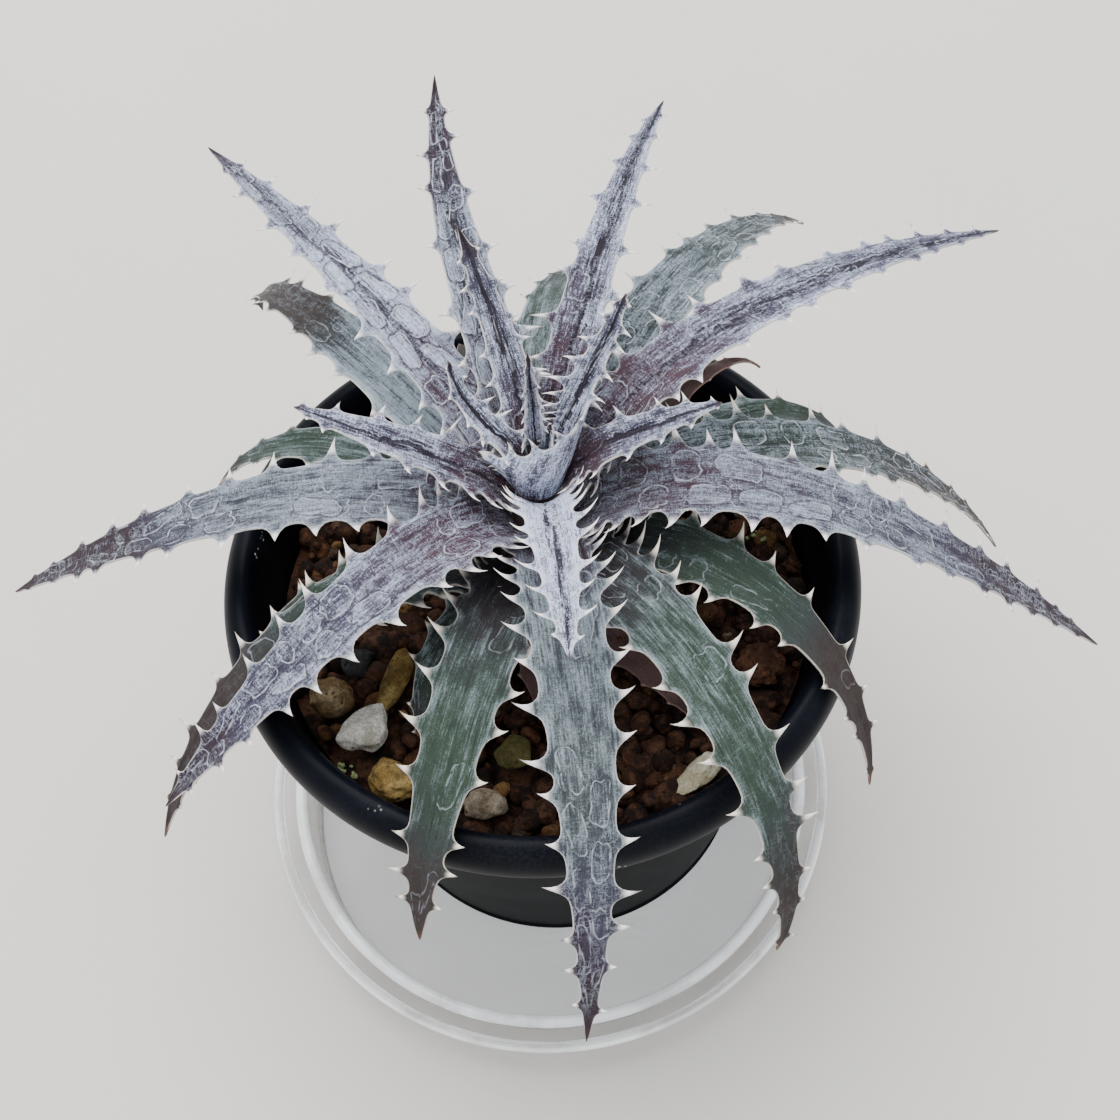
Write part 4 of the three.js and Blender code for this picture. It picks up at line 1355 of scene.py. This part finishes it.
    relief = total(
        product(scales, 0.35), product(fibre, 0.8), product(streak, 0.9), product(outline, 0.8),
        product(rays, 0.3), product(bed, -0.35), product(crease, -0.5),
    )
    w.join(product(relief, w.ease(spine, 0.0, 1.0, 1.0, 0.15)), made["Height"])
    rough = w.ease(scales, 0, 1, 0.58, 0.9)
    w.join(w.less(rough, product(horn, 0.3)), made["Roughness"])
    return tree


LEAF_SKIN = leaf_skin_group()


def leaf_material(name, colours):
    material, w, shader = new_material(name, {"Specular IOR Level": 0.35})
    skin = place_group(w, LEAF_SKIN, {key: paint(code) for key, code in colours.items()})
    w.join(skin["Colour"], shader.inputs["Base Color"])
    w.join(skin["Roughness"], shader.inputs["Roughness"])
    raise_bumps(w, shader, skin["Height"], 0.5)
    return material


young_skin = leaf_material("silver_leaf", {
    "Root": "472f3a", "Green": "384838", "Pale": "383349", "Tip": "2f1e29", "Bare": "190f1b",
    "Coat": "dde4ff", "Horn": "fbf3ef", "Point": "3d2a2e",
})
old_skin = leaf_material("green_leaf", {
    "Root": "2b2227", "Green": "2a3f2a", "Pale": "2d3434", "Tip": "332927", "Bare": "101210",
    "Coat": "cddcee", "Horn": "f3e8da", "Point": "63402e",
})
dry_skin = leaf_material("withered_leaf", {
    "Root": "5c4341", "Green": "5c443d", "Pale": "6a4e4c", "Tip": "43302c", "Bare": "322224",
    "Coat": "9c8784", "Horn": "94766a", "Point": "5a382c",
})

for order, sizes in enumerate(LEAVES):
    node = f"leaf_{order + 1:02d}"
    young = order < YOUNG_LEAVES
    leaf_points, leaf_faces, leaf_values = leaf_mesh(Leaf(order, sizes), np.random.default_rng(100 + order))
    add_piece(
        f"toothed_{node}", leaf_points, leaf_faces, young_skin if young else old_skin,
        [node], 70, leaf_values,
    )

for number, sizes in enumerate(DRY_LEAVES):
    node = f"dry_leaf_{number + 1}"
    order = len(LEAVES) + number
    leaf_points, leaf_faces, leaf_values = leaf_mesh(
        Leaf(order, sizes, withered=True), np.random.default_rng(200 + number)
    )
    add_piece(
        f"withered_{node}", leaf_points, leaf_faces, dry_skin, [node], 70, leaf_values
    )


# ---------------------------------------------------------------------------------------------
# Stage
# A plain pale floor, an overcast sky and one broad soft light, and the camera.
# ---------------------------------------------------------------------------------------------

FLOOR_HALF = 3000.0


def floor_material():
    material, w, shader = new_material("pale_floor", {"Roughness": 0.85})
    place = w.add("TexCoord").outputs["Object"]
    tone = w.noise(place, 9, 4, 0.6)
    w.join(w.mix(tone, paint("d0ccc5"), paint("dad6cf")), shader.inputs["Base Color"])
    raise_bumps(w, shader, w.noise(place, 400, 3, 0.6), 0.2, 0.4)
    return material


floor_mesh = bpy.data.meshes.new("floor")
edge = FLOOR_HALF * MM
corners = [(-edge, -edge, 0), (edge, -edge, 0), (edge, edge, 0), (-edge, edge, 0)]
floor_mesh.from_pydata(corners, [], [[0, 1, 2, 3]])
floor_mesh.materials.append(floor_material())
floor = bpy.data.objects.new("floor", floor_mesh)
bpy.context.scene.collection.objects.link(floor)
floor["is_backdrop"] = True

world = bpy.data.worlds.new("overcast")
bpy.context.scene.world = world
world.use_nodes = True
sky = world.node_tree.nodes["Background"].inputs
sky["Color"].default_value = (0.93, 0.96, 1.0, 1)
sky["Strength"].default_value = 1.35

SOFTBOX = {"place": (-200, 450, 1300), "side": 1400, "power": 30}
softbox_light = bpy.data.lights.new("softbox", "AREA")
softbox_light.shape = "DISK"
softbox_light.size = SOFTBOX["side"] * MM
softbox_light.energy = SOFTBOX["power"]
softbox = bpy.data.objects.new("softbox", softbox_light)
softbox.location = Vector(SOFTBOX["place"]) * MM
softbox.rotation_euler = (Vector((0, 0, 80)) * MM - softbox.location).to_track_quat("-Z", "Y").to_euler()
bpy.context.scene.collection.objects.link(softbox)

CAMERA = {"place": (3.7, -151.2, 338.7), "down": 58.62, "roll": -3.95, "focal": 1550, "image": 1120}
camera_data = bpy.data.cameras.new("camera")
camera_data.sensor_width = 36
camera_data.lens = camera_data.sensor_width * CAMERA["focal"] / CAMERA["image"]
camera_data.clip_start = 0.01
camera = bpy.data.objects.new("camera", camera_data)
tilt = Matrix.Rotation(math.radians(90 - CAMERA["down"]), 4, "X")
roll = Matrix.Rotation(math.radians(CAMERA["roll"]), 4, "Z")
camera.matrix_world = Matrix.Translation(Vector(CAMERA["place"]) * MM) @ tilt @ roll
bpy.context.scene.collection.objects.link(camera)
bpy.context.scene.camera = camera

sizes = {"cad": [list(corner) for corner in cad_box], "visual": [list(corner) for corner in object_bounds()]}
